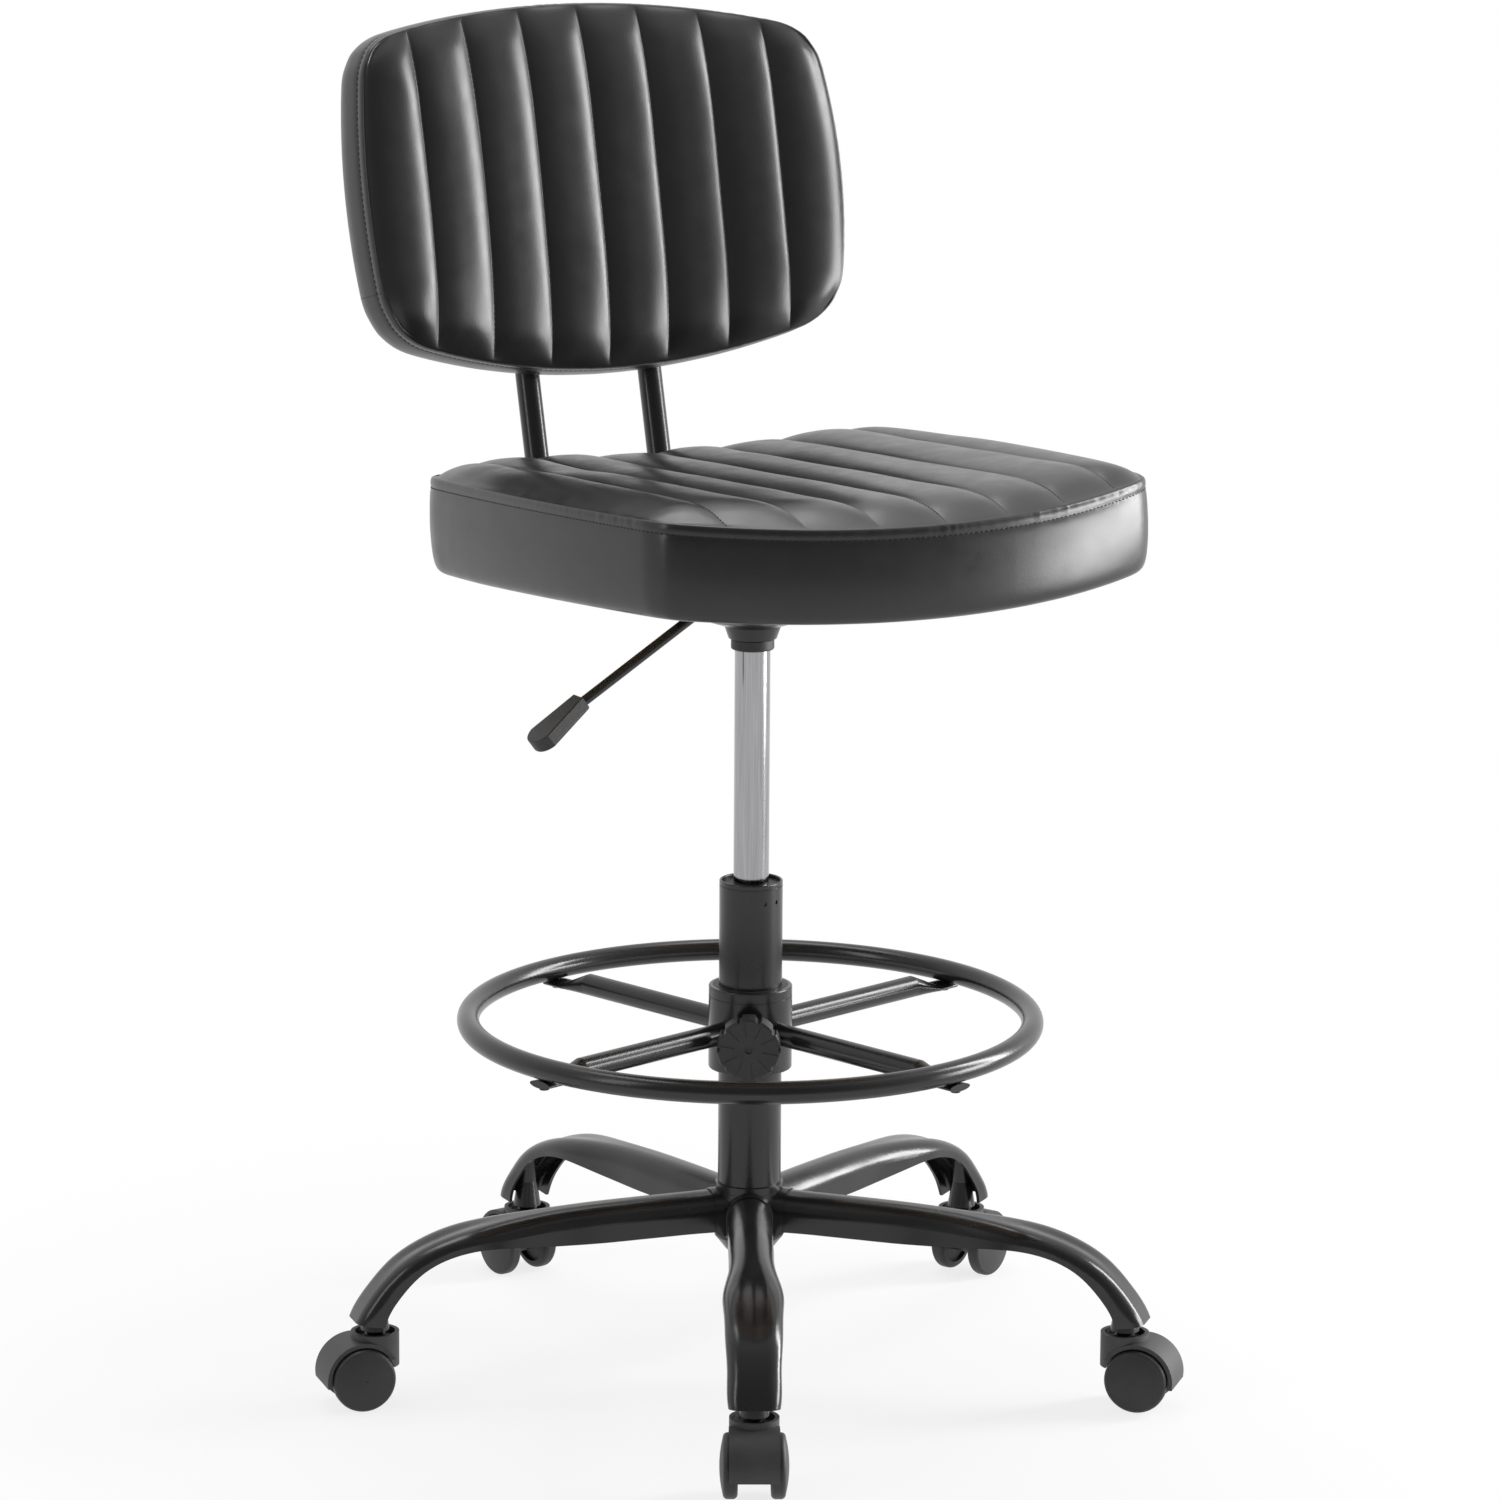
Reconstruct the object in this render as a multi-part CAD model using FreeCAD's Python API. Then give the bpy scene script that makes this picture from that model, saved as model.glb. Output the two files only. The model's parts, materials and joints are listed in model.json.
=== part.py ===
"""Armless drafting chair: five-star base, gas column, foot ring, seat and backrest.

Millimetres. +Z is up, the chair faces -Y, the sitter's right is -X, and the origin
lies on the floor under the column's axis. Each sub-part is written as one STEP file.
"""
import FreeCAD, Part
import math
import os

from FreeCAD import Rotation, Vector

X_AXIS, Y_AXIS, Z_AXIS = Vector(1, 0, 0), Vector(0, 1, 0), Vector(0, 0, 1)

# ---- clearances -------------------------------------------------------------
FIT = 0.05                    # radial running fit of a shaft in its bore
SEAT_GAP = 0.3                # space between faces that pass or rest near each other
FREE = 0.6                    # space around something that only passes through

# ---- casters ----------------------------------------------------------------
caster_count = 5
wheel_radius = 25.0
wheel_width = 11.2            # tread and edge rounding, without the dome
wheel_gap = 25.0              # between the two inner faces of a pair
wheel_edge = 3.6              # rounding of the tread's edges
wheel_dome = 2.6              # bulge of the outer face
caster_trail = 14.0           # axle behind the swivel axis
axle_radius = 3.0
hood_width = 38.4
hood_wall = 3.3
hood_top = 59.0               # height of the neck's rim above the floor
hood_neck_radius = 19.0
hood_recess_depth = 5.0
hood_space = 1.2              # between the tread and the hood
hood_tail = 20.0              # lower edge of the hood behind the wheels
hood_boss_radius = 9.0
hood_web = 11.0               # rib between the wheels
stem_radius = 5.5
stem_depth_in_hood = 25.0
stem_flange_radius = 8.0
stem_flange = 2.4

# ---- five-star base ---------------------------------------------------------
arm_heading = -29.1           # first arm, degrees from -Y towards +X
caster_circle = 309.0         # radius of the stems' circle
arm_top_at_hub = 148.9
arm_height = 30.6
arm_width_at_hub = 35.0
arm_width_at_bend = 47.0
arm_width_at_end = 39.6
arm_wall = 2.5
arm_end_reach = 18.0          # arm end beyond the stem's axis
arm_end_outer = 69.0          # heights of the end's outer and inner lips
arm_end_inner = 66.0
arm_open_step = 9             # station where the closed tube opens into a channel
arm_root = 6.0                # arm's start inside the hub's radius
arm_crown_at_hub = 17.0
arm_crown_at_end = 11.0
arm_dent = 1.8                # dip in the crown at the bend
arm_dent_place = 0.72         # share of the arm's length
arm_dent_reach = 0.2
arm_flare_start = 0.42        # shares of the arm's length
arm_flare_end = 0.67
arm_steps = 14
# (share of the reach, share of the fall from hub to end) along the arm's top and underside
arm_top_line = ((0.315, 0.02), (0.5, 0.052), (0.627, 0.1), (0.752, 0.188), (0.876, 0.405), (0.95, 0.685),
                (1.0, 1.0))
arm_low_line = ((0.315, 0.0), (0.462, -0.005), (0.581, -0.05), (0.68, -0.088), (0.777, 0.006), (0.838, 0.184),
                (0.887, 0.465), (0.92, 0.75), (0.936, 1.0))
hub_radius = 27.5
hub_bottom = 99.0
hub_taper = 11.0              # cone under the hub
hub_taper_radius = 19.0
hub_bore_radius = 14.0
hub_lip = 5.0                 # thin collar above the arms
hub_lip_radius = 27.0
socket_reach = 6.0            # flared mouths of the hub round the arm roots
socket_lip = 2.0
socket_drop = 16.0             # the mouths hang below the arms at the hub
stub_height = 22.0
stub_length = 64.0            # tongue of the hub inside each arm
stub_wall = 3.0
arm_screw_radii = (54.0, 79.0)
arm_screw_head_radius = 5.0
arm_screw_head = 2.6
arm_screw_shank_radius = 3.0
arm_screw_tip = 4.0
boss_bottom_radius = 11.5
boss_top_radius = 8.0
boss_bottom = 60.5
boss_cone = 21.0
stem_bite = 3.0               # stem above the cone

# ---- column -----------------------------------------------------------------
tube_radius = 25.0
tube_wall = 2.0
tube_bottom = 110.0
tube_top = 400.0
tube_floor = 4.0
tube_rim = 3.6                # band above a fine line round the tube
tube_line_depth = 0.6
tube_dimple_headings = (-94.0, -67.0)
tube_dimple_radius = 1.7
tube_dimple_drop = 15.0
guide_length = 66.0
guide_drop = 3.0              # guide's top face below the tube's rim
cylinder_radius = 14.0
cylinder_wall = 2.0
cylinder_bottom = 300.0
cylinder_shown = 185.0        # chrome between the tube and the dust ring
dust_ring_height = 8.0
dust_ring_radius = 17.0
taper_length = 27.0
taper_drop = 0.8              # how much the cone's radius falls over that length
rod_radius = 5.0
piston_radius = 11.5
piston_height = 12.0
piston_lift = 16.0            # piston above the cylinder's lower end
seal_thickness = 8.0
bearing_height = 4.0
bearing_radius = 16.0
buffer_height = 10.0
buffer_radius = 11.0
clip_height = 2.0
clip_radius = 9.0
button_radius = 4.0
button_sink = 8.0             # shank of the button inside the cylinder's end

# ---- foot ring --------------------------------------------------------------
ring_heading = -31.0          # knob, degrees from -Y towards +X
spoke_heading = 15.0
spoke_count = 4
ring_radius = 223.0
ring_tube_radius = 8.8
ring_wall = 1.6
ring_height = 287.0
spoke_radius = 8.7
spoke_height = 280.0
spoke_flat = 6.0              # thickness of the flattened spoke ends
spoke_flat_length = 38.0
spoke_flat_width = 22.0
spoke_tip = 5.0               # tab's end beyond the ring's middle line
spoke_press = 24.0            # length over which the tube is pressed flat
spoke_wall = 1.5
spoke_screw_radius = 2.5
spoke_screw_head_radius = 4.0
spoke_screw_head = 1.6
collar_radius = 33.0
collar_bottom = 248.0
collar_height = 67.0
collar_wall = 3.0
collar_rim = 8.0
bush_height = 22.0
knob_radius = 25.0
knob_height = 276.5
knob_front = 60.0             # face of the knob from the column's axis
knob_thickness = 17.0
knob_edge = 2.5
knob_screw_grip = 9.0         # screw held inside the knob
knob_grooves = 10
knob_groove_radius = 2.4
knob_dimple_radius = 3.0
knob_line_width = 1.2         # short lines on the knob's face
knob_line_start = 11.0
knob_line_depth = 0.5
knob_screw_radius = 4.0
knob_boss_radius = 9.0
knob_boss_length = 6.0

# ---- seat -------------------------------------------------------------------
seat_width = 460.0
seat_depth = 482.0
seat_centre_y = -46.0
seat_pitch = 4.5              # degrees, front higher
seat_band = 74.0
seat_crown = 12.0
seat_side_rise = 15.0         # how much the sides curl up
seat_front_arc = 500.0
seat_side_arc = 1570.0
seat_back_arc = 1650.0
seat_front_corner = 44.0
seat_back_corner = 92.0
seat_top_round = 14.0
seat_bottom_round = 6.0
board_thickness = 12.0
board_inset = 20.0

# ---- under-seat mechanism and lever -------------------------------------------
plate_thickness = 3.0
plate_size = 150.0
plate_corner = 14.0
pan_radius = 68.0
pan_wall = 2.5
cone_socket_shown = 11.0      # socket below the pan
mechanism_room = 20.0         # from the column's end to the seat's underside
cone_socket_lower_radius = 19.0
cone_socket_upper_radius = 22.5
seat_screw_inset = 14.0
seat_screw_radius = 3.0
seat_screw_head_radius = 6.0
seat_screw_head = 3.2
seat_screw_bite = 9.0         # depth of the screws in the board
ear_width = 12.0              # lugs that carry the lever's pin
ear_wall = 3.0
ear_spread = 9.0
lever_pivot_x = -28.0
lever_drop = 30.8             # degrees below the horizontal
lever_radius = 4.0
lever_length = 157.0
lever_knuckle_radius = 5.5
lever_finger = 29.0           # arm of the lever over the valve button
lever_finger_below_plate = 6.5
lever_pin_radius = 2.5
lever_swing = 6.0
handle_length = 53.0
handle_width = 27.0
handle_root_width = 14.0
handle_thickness = 12.4
handle_tip = 11.0               # rounded end
handle_tilt = 6.0               # degrees below the rod
handle_overlap = 14.0

# ---- back posts ---------------------------------------------------------------
post_x = 56.0
post_radius = 9.75
post_wall = 1.8
post_line_y = 262.0           # post's axis at the reference height
post_line_rise = 100.0        # reference height above the seat's underside
back_lean = 14.0              # degrees
post_bend = 46.0
post_front_y = 84.0           # where the tubes begin under the seat
post_rise = 292.0             # upper end of the tubes above the seat's underside
post_foot_inset = 16.0
post_foot_pitch = 70.0        # between the two bolts of a foot
post_cap = 3.0
post_cap_plug = 12.0
post_bolt_radius = 3.0
post_bolt_head_radius = 5.5
post_bolt_head = 3.0
post_bolt_inset = 22.0
post_bolt_pitch = 84.0
post_bolt_bite = 7.0          # depth of the bolts in the board or the panel

# ---- backrest -----------------------------------------------------------------
back_width = 434.0
back_height = 284.0
back_rise = 146.0             # lower edge of the front seam above the seat's underside
back_thickness = 43.0
back_crown = 12.0
back_curve = 870.0            # radius round the sitter
back_bottom_arc = 960.0
back_side_arc = 1750.0
back_top_arc = 1310.0
back_bottom_corner = 76.0
back_top_corner = 46.0
back_round = 9.0
back_panel_thickness = 9.0
back_panel_inset = 15.0

# ---- heights that follow from the sizes above ------------------------------------
dust_ring_bottom = tube_top + cylinder_shown
dust_ring_top = dust_ring_bottom + dust_ring_height
cylinder_top = dust_ring_top + taper_length
cone_socket_bottom = dust_ring_top + 1.0
pan_bottom = dust_ring_top + cone_socket_shown
seat_underside = cylinder_top + mechanism_room
pivot_z = seat_underside - plate_thickness - lever_finger_below_plate
button_top = pivot_z - lever_radius - SEAT_GAP
post_line_z = seat_underside + post_line_rise
post_top = seat_underside + post_rise
back_bottom = seat_underside + back_rise


# ---- small builders -------------------------------------------------------------
def cylinder(radius, z0, z1):
    return Part.makeCylinder(radius, z1 - z0, Vector(0, 0, z0))


def ring(outer, inner, z0, z1):
    return cylinder(outer, z0, z1).cut(cylinder(inner, z0 - 1, z1 + 1))


def box(x0, x1, y0, y1, z0, z1):
    return Part.makeBox(x1 - x0, y1 - y0, z1 - z0, Vector(x0, y0, z0))


def turned(outline):
    """Solid of revolution about Z from (radius, height) corners."""
    points = [Vector(r, 0, z) for r, z in outline]
    face = Part.Face(Part.makePolygon(points + points[:1]))
    return face.revolve(Vector(0, 0, 0), Z_AXIS, 360)


def rounded(shape, radius, chosen):
    """Fillet the edges that `chosen` accepts."""
    edges = [e for e in shape.Edges if chosen(e)]
    return shape.makeFillet(radius, edges) if edges else shape


def moved(shape, x=0.0, y=0.0, z=0.0):
    copy = shape.copy()
    copy.translate(Vector(x, y, z))
    return copy


def spun(shape, degrees, centre=Vector(0, 0, 0), axis=Z_AXIS):
    copy = shape.copy()
    copy.rotate(centre, axis, degrees)
    return copy


def bolt(radius, head_radius, head, grip):
    """Bolt with its shank up +Z from the seat of its head at Z = 0."""
    shank = cylinder(radius, 0, grip)
    cap = cylinder(head_radius, -head, 0)
    cap = rounded(cap, head * 0.55, lambda e: abs(e.BoundBox.ZMax + head) < 1e-6)
    return cap.fuse(shank)


def heading(degrees):
    """Turn from +X to a heading measured from -Y towards +X."""
    return degrees - 90.0


def arc_through(a, b, centre, radius):
    """The shorter arc from a to b about centre."""
    middle = (a + b) * 0.5 - centre
    return Part.Arc(a, centre + middle.normalize() * radius, b).toShape()


def circles_meet(c1, r1, c2, r2, near):
    """The crossing of two circles that lies nearest to a point."""
    line = c2 - c1
    gap = line.Length
    along = (r1 * r1 - r2 * r2 + gap * gap) / (2 * gap)
    across = math.sqrt(max(r1 * r1 - along * along, 0.0))
    unit = line * (1 / gap)
    side = Vector(-unit.y, unit.x, 0) * across
    foot = c1 + unit * along
    return min((foot + side, foot - side), key=lambda p: p.distanceToPoint(near))


def cushion_outline(width, depth, front, side, back, front_corner, back_corner, inset=0.0):
    """Closed eight-arc outline in XY, symmetric about Y, with its front at -Y."""
    half_w, half_d = width / 2 - inset, depth / 2 - inset
    front, side, back = front - inset, side - inset, back - inset
    front_corner = max(front_corner - inset, 1.0)
    back_corner = max(back_corner - inset, 1.0)
    front_c = Vector(0, -half_d + front, 0)
    back_c = Vector(0, half_d - back, 0)
    side_c = Vector(half_w - side, 0, 0)
    low = circles_meet(front_c, front - front_corner, side_c, side - front_corner,
                       Vector(half_w, -half_d, 0))
    high = circles_meet(side_c, side - back_corner, back_c, back - back_corner, Vector(half_w, half_d, 0))

    def tangent(corner, radius, main):
        return corner + (corner - main).normalize() * radius

    p1, p2 = tangent(low, front_corner, front_c), tangent(low, front_corner, side_c)
    p3, p4 = tangent(high, back_corner, side_c), tangent(high, back_corner, back_c)

    def mirror(p):
        return Vector(-p.x, p.y, 0)

    edges = [
        arc_through(mirror(p1), p1, front_c, front),
        arc_through(p1, p2, low, front_corner),
        arc_through(p2, p3, side_c, side),
        arc_through(p3, p4, high, back_corner),
        arc_through(p4, mirror(p4), back_c, back),
        arc_through(mirror(p4), mirror(p3), mirror(high), back_corner),
        arc_through(mirror(p3), mirror(p2), mirror(side_c), side),
        arc_through(mirror(p2), mirror(p1), mirror(low), front_corner),
    ]
    return Part.Face(Part.Wire(edges))


def prism(face, z0, z1):
    return moved(face, z=z0).extrude(Vector(0, 0, z1 - z0))


# ---- casters -------------------------------------------------------------------
def stem_place(index):
    angle = heading(arm_heading + 360.0 / caster_count * index)
    return angle


def at_caster(shape, index):
    """Carry a shape from the local caster (stem on Z, trailing to +X) to its arm."""
    return spun(moved(shape, x=caster_circle), stem_place(index))


def on_axle(shape):
    """Turn a shape built about Z so that it lies on the axle, along Y."""
    return moved(spun(shape, -90, axis=X_AXIS), x=caster_trail, z=wheel_radius)


def make_wheel(side):
    inner, outer = wheel_gap / 2, wheel_gap / 2 + wheel_width
    face_radius = wheel_radius - wheel_edge
    blind = outer - 3 * FREE
    tyre = turned([
        (0, inner), (wheel_radius, inner), (wheel_radius, outer), (0, outer)])
    tyre = rounded(tyre, wheel_edge, lambda e: abs(e.BoundBox.ZLength) < 1e-6
                   and abs(e.BoundBox.XLength - 2 * wheel_radius) < 1e-3)
    cap_radius = (face_radius ** 2 + wheel_dome ** 2) / (2 * wheel_dome)
    cap = Part.makeSphere(cap_radius, Vector(0, 0, outer + wheel_dome - cap_radius))
    cap = cap.common(cylinder(face_radius, outer - 1, outer + wheel_dome + 1))
    boss = cylinder(hood_boss_radius, hood_web / 2 + FREE, inner + 1)
    wheel = tyre.fuse([cap, boss]).removeSplitter()
    recess = ring(face_radius - 2, hood_boss_radius, inner - 1, inner + wheel_edge)
    wheel = wheel.cut(recess).cut(cylinder(axle_radius + FIT, 0, blind))
    return on_axle(wheel if side > 0 else wheel.mirror(Vector(0, 0, 0), Z_AXIS))


def make_axle():
    half = wheel_gap / 2 + wheel_width - 4 * FREE
    return on_axle(cylinder(axle_radius, -half, half))


def make_hood():
    """Fender over the pair of wheels, with a hollow neck for the stem."""
    wheel_space = wheel_radius + hood_space
    shell_radius = wheel_space + hood_wall
    half = hood_width / 2
    reach = caster_trail + shell_radius
    cover = on_axle(cylinder(shell_radius, -half, half))
    rear = box(caster_trail, reach, -half, half, hood_tail, hood_top)
    over = box(-shell_radius, reach, -half, half, wheel_radius + shell_radius / 2, hood_top)
    cover = cover.common(rear.fuse(over))
    neck = cylinder(hood_neck_radius, wheel_radius + caster_trail / 2, hood_top)
    cover = cover.fuse(neck).cut(on_axle(cylinder(wheel_space, -half - 1, half + 1)))
    hub = on_axle(cylinder(hood_boss_radius, -hood_web / 2, hood_web / 2))
    recess_floor = hood_top - hood_recess_depth
    rib = box(-hood_boss_radius, caster_trail + hood_boss_radius, -hood_web / 2, hood_web / 2,
              wheel_radius, recess_floor)
    rib = rib.common(on_axle(cylinder(shell_radius, -half, half)).fuse(neck))
    stem_end = hood_top - stem_depth_in_hood
    boss = cylinder(hood_boss_radius, stem_end - hood_wall, recess_floor)
    hood = cover.fuse([hub, rib, boss]).removeSplitter()
    hood = hood.cut(cylinder(hood_neck_radius - hood_wall, recess_floor, hood_top + 1))
    hood = hood.cut(cylinder(stem_radius + FIT, stem_end, hood_top + 1))
    return hood.cut(on_axle(cylinder(axle_radius + FIT, -hood_web, hood_web)))


def make_stem():
    floor = hood_top - hood_recess_depth
    pin_bottom = hood_top - stem_depth_in_hood + SEAT_GAP
    pin = cylinder(stem_radius, pin_bottom, boss_bottom + boss_cone + stem_bite)
    flange = cylinder(stem_flange_radius, floor + SEAT_GAP, floor + SEAT_GAP + stem_flange)
    spacer = cylinder(stem_flange_radius - 1.5, floor + SEAT_GAP, boss_bottom)
    return pin.fuse([flange, spacer]).removeSplitter()


# ---- five-star base --------------------------------------------------------------
def arch(top, bottom, width, crown, wall=0.0, drop=0.0, dent=0.0):
    """Rounded-top section standing on the line from bottom to top in the XZ plane."""
    depth = (top - bottom).Length
    up = (top - bottom).normalize()
    half = width / 2 - wall
    radius = min(max(min(crown, 0.8 * depth) - wall, 1.0), half - 0.2)
    high = top - up * wall
    low = bottom + up * (wall - drop)
    side = Y_AXIS
    corner = high - up * radius
    quarter = math.sqrt(0.5) * radius
    p_low_l, p_low_r = low - side * half, low + side * half
    p_l, p_r = corner - side * half, corner + side * half
    t_l, t_r = high - side * (half - radius), high + side * (half - radius)
    c_l, c_r = corner - side * (half - radius), corner + side * (half - radius)
    crest = Part.BSplineCurve()
    crest.interpolate(Points=[t_l, high - up * dent, t_r], InitialTangent=side, FinalTangent=side)
    edges = [
        Part.LineSegment(p_low_l, p_l).toShape(),
        Part.Arc(p_l, c_l + up * quarter - side * quarter, t_l).toShape(),
        crest.toShape(),
        Part.Arc(t_r, c_r + up * quarter + side * quarter, p_r).toShape(),
        Part.LineSegment(p_r, p_low_r).toShape(),
        Part.LineSegment(p_low_r, p_low_l).toShape(),
    ]
    return Part.Wire(edges)


def edge_line(line, start, fall):
    """Smooth curve in XZ through (share of the reach, share of the fall) points."""
    end = caster_circle + arm_end_reach
    points = [Vector(hub_radius - arm_root, 0, start)]
    points += [Vector(share * end, 0, start - part * fall) for share, part in line]
    curve = Part.BSplineCurve()
    curve.interpolate(points)
    return curve


def along(curve, share):
    return curve.value(curve.parameterAtDistance(share * curve.length(), curve.FirstParameter))


def arm_width(share):
    """Slim at the hub, widest at the bend, a little slimmer at the end."""
    rise = min(max((share - arm_flare_start) / (arm_flare_end - arm_flare_start), 0.0), 1.0)
    rise = rise * rise * (3 - 2 * rise)
    fall = max(share - arm_flare_end, 0.0) / (1 - arm_flare_end)
    gain, loss = arm_width_at_bend - arm_width_at_hub, arm_width_at_bend - arm_width_at_end
    return arm_width_at_hub + gain * rise - loss * fall


def arm_underside():
    low_start = arm_top_at_hub - arm_height
    return edge_line(arm_low_line, low_start, low_start - arm_end_inner)


def arm_sections(wall=0.0, drop=0.0, grow=0.0, first=0, last=None):
    """Sections along the arm, evenly spaced from the hub to the end."""
    top, low = edge_line(arm_top_line, arm_top_at_hub, arm_top_at_hub - arm_end_outer), arm_underside()
    sections = []
    for index in range(first, (last or arm_steps) + 1):
        share = index / arm_steps
        crown = arm_crown_at_hub + (arm_crown_at_end - arm_crown_at_hub) * share
        near = max(1 - abs(share - arm_dent_place) / arm_dent_reach, 0.0)
        dent = arm_dent * near * near * (3 - 2 * near)
        sections.append(arch(along(top, share) + Z_AXIS * grow, along(low, share) - Z_AXIS * grow,
                             arm_width(share) + 2 * grow, crown + grow, wall, drop, dent))
    return sections


def loft(sections):
    return Part.makeLoft(sections, True, False, False, 3)


def arm_floor_at(radius):
    """Height of the arm's underside at a radius in its straight part."""
    line = arm_underside()
    low, high = 0.0, 0.5
    for step in range(30):
        middle = (low + high) / 2
        if along(line, middle).x < radius:
            low = middle
        else:
            high = middle
    return along(line, low).z


def arm_sector(apex=0.0):
    """Wedge of the circle that belongs to one arm."""
    reach = 2 * caster_circle
    corner = (reach - apex) * math.tan(math.pi / caster_count)
    wedge = Part.makePolygon([Vector(apex, 0, 0), Vector(reach, -corner, 0), Vector(reach, corner, 0),
                              Vector(apex, 0, 0)])
    return Part.Face(wedge).extrude(Z_AXIS * 2 * arm_top_at_hub)


def make_arm_and_boss():
    outer, hollow = loft(arm_sections()), loft(arm_sections(arm_wall, last=arm_open_step))
    opening = loft(arm_sections(arm_wall, 3 * arm_wall, first=arm_open_step))
    high = 2 * arm_top_at_hub
    arm = outer.cut(hollow).cut(opening).cut(cylinder(hub_radius + FIT, 0, high)).common(arm_sector(FIT))
    for radius in arm_screw_radii:
        hole = cylinder(arm_screw_shank_radius + FIT, 0, arm_top_at_hub - arm_height / 2)
        arm = arm.cut(moved(hole, x=radius))
    arm = max(arm.Solids, key=lambda s: s.Volume)
    cone_top = boss_bottom + boss_cone
    stem_hole = cylinder(stem_radius + FIT, 0, cone_top + stem_bite + FIT)
    cone = Part.makeCone(boss_bottom_radius, boss_top_radius, boss_cone, Vector(0, 0, boss_bottom))
    neck = cylinder(boss_top_radius, cone_top, arm_top_at_hub)
    inside = moved(cone.fuse(neck).cut(stem_hole), x=caster_circle).cut(arm)
    boss = min(inside.Solids, key=lambda s: s.BoundBox.ZMin)
    return arm, boss


def make_hub():
    """Hub tube with a flared mouth and a hollow tongue for each arm."""
    top = arm_top_at_hub
    low = top - arm_height
    taper = Part.makeCone(hub_taper_radius, hub_radius, hub_taper, Vector(0, 0, hub_bottom))
    hub = cylinder(hub_radius, hub_bottom + hub_taper, top - 1).fuse(
        [taper, cylinder(hub_lip_radius, top - 2, top + hub_lip)])
    reach = hub_radius + socket_reach
    flare_in = arch(Vector(0, 0, top + socket_lip), Vector(0, 0, low - socket_drop),
                    arm_width_at_hub + 4 * socket_lip, arm_crown_at_hub + 2 * socket_lip)
    flare_out = arch(Vector(reach, 0, top + socket_lip / 2), Vector(reach, 0, low - socket_lip / 2),
                     arm_width_at_hub + socket_lip, arm_crown_at_hub + socket_lip / 2)
    mouth = loft([flare_in, flare_out]).common(arm_sector()).cut(loft(arm_sections(grow=SEAT_GAP, last=3)))
    half = arm_width_at_hub / 2 - arm_wall - 2 * FREE
    floor = arm_floor_at(hub_radius) + arm_wall + FIT
    roof = floor + stub_height
    end = hub_radius + stub_length
    stub = box(0, end, -half, half, low, roof)
    stub = stub.cut(box(0, end + 1, -half + stub_wall, half - stub_wall,
                        floor + stub_wall, roof - stub_wall))
    stub = stub.common(loft(arm_sections(arm_wall + FIT, last=6)))
    for radius in arm_screw_radii:
        stub = stub.cut(moved(cylinder(arm_screw_shank_radius + FIT, 0, top), x=radius))
    for index in range(caster_count):
        hub = hub.fuse([spun(mouth, stem_place(index)), spun(stub, stem_place(index))])
    hub = hub.cut(cylinder(tube_radius + FIT, tube_bottom - SEAT_GAP, 2 * top))
    return hub.cut(cylinder(hub_bore_radius, 0, 2 * top)).removeSplitter()


def make_arm_screws():
    """Two button-head screws per arm, driven up through the arm's floor."""
    screws = []
    for index in range(caster_count):
        for radius in arm_screw_radii:
            screw = bolt(arm_screw_shank_radius, arm_screw_head_radius, arm_screw_head,
                         arm_wall + stub_wall + arm_screw_tip)
            screws.append(spun(moved(screw, x=radius, z=arm_floor_at(radius) - SEAT_GAP), stem_place(index)))
    return Part.makeCompound(screws)


# ---- column ------------------------------------------------------------------------

def make_outer_tube():
    tube = ring(tube_radius, tube_radius - tube_wall, tube_bottom, tube_top)
    tube = rounded(tube, tube_wall * 0.45, lambda e: abs(e.BoundBox.ZMin - tube_top) < 1e-6)
    floor = ring(tube_radius - tube_wall, rod_radius + SEAT_GAP, tube_bottom, tube_bottom + tube_floor)
    tube = tube.fuse(floor).removeSplitter()
    line = tube_top - tube_rim
    tube = tube.cut(ring(tube_radius + 1, tube_radius - tube_line_depth, line - tube_line_depth, line))
    for turn in tube_dimple_headings:
        dimple = Part.makeCylinder(tube_dimple_radius, 2, Vector(tube_radius - tube_wall / 2, 0, 0), X_AXIS)
        tube = tube.cut(moved(spun(dimple, turn), z=tube_top - tube_dimple_drop))
    return tube


def make_guide_bush():
    top = tube_top - guide_drop
    return ring(tube_radius - tube_wall - FIT, cylinder_radius + FIT, top - guide_length, top)


def make_gas_cylinder():
    body = turned([
        (0, cylinder_bottom), (cylinder_radius, cylinder_bottom), (cylinder_radius, dust_ring_top),
        (cylinder_radius - taper_drop, cylinder_top), (0, cylinder_top)])
    chamber = cylinder(cylinder_radius - cylinder_wall, cylinder_bottom + seal_thickness,
                       dust_ring_top - seal_thickness)
    seal_hole = cylinder(rod_radius + SEAT_GAP, cylinder_bottom - 1, cylinder_bottom + 2 * seal_thickness)
    body = body.cut(chamber).cut(seal_hole)
    return body.cut(cylinder(button_radius + SEAT_GAP, cylinder_top - button_sink - 4, cylinder_top + 1))


def make_piston_rod():
    rod = cylinder(rod_radius, tube_bottom - 2 * clip_height, cylinder_bottom + piston_lift)
    piston_low = cylinder_bottom + piston_lift
    piston = cylinder(piston_radius, piston_low, piston_low + piston_height)
    groove_top = tube_bottom - SEAT_GAP
    groove = ring(rod_radius + 1, rod_radius - 1, groove_top - clip_height, groove_top)
    return rod.fuse(piston).cut(groove)


def make_rod_clip():
    top = tube_bottom - SEAT_GAP
    return ring(clip_radius, rod_radius - 1 + FIT, top - clip_height, top)


def make_thrust_bearing():
    floor = tube_bottom + tube_floor + SEAT_GAP
    return ring(bearing_radius, rod_radius + FIT, floor, floor + bearing_height)


def make_rubber_buffer():
    floor = tube_bottom + tube_floor + SEAT_GAP + bearing_height
    return ring(buffer_radius, rod_radius + FIT, floor, floor + buffer_height)


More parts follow.
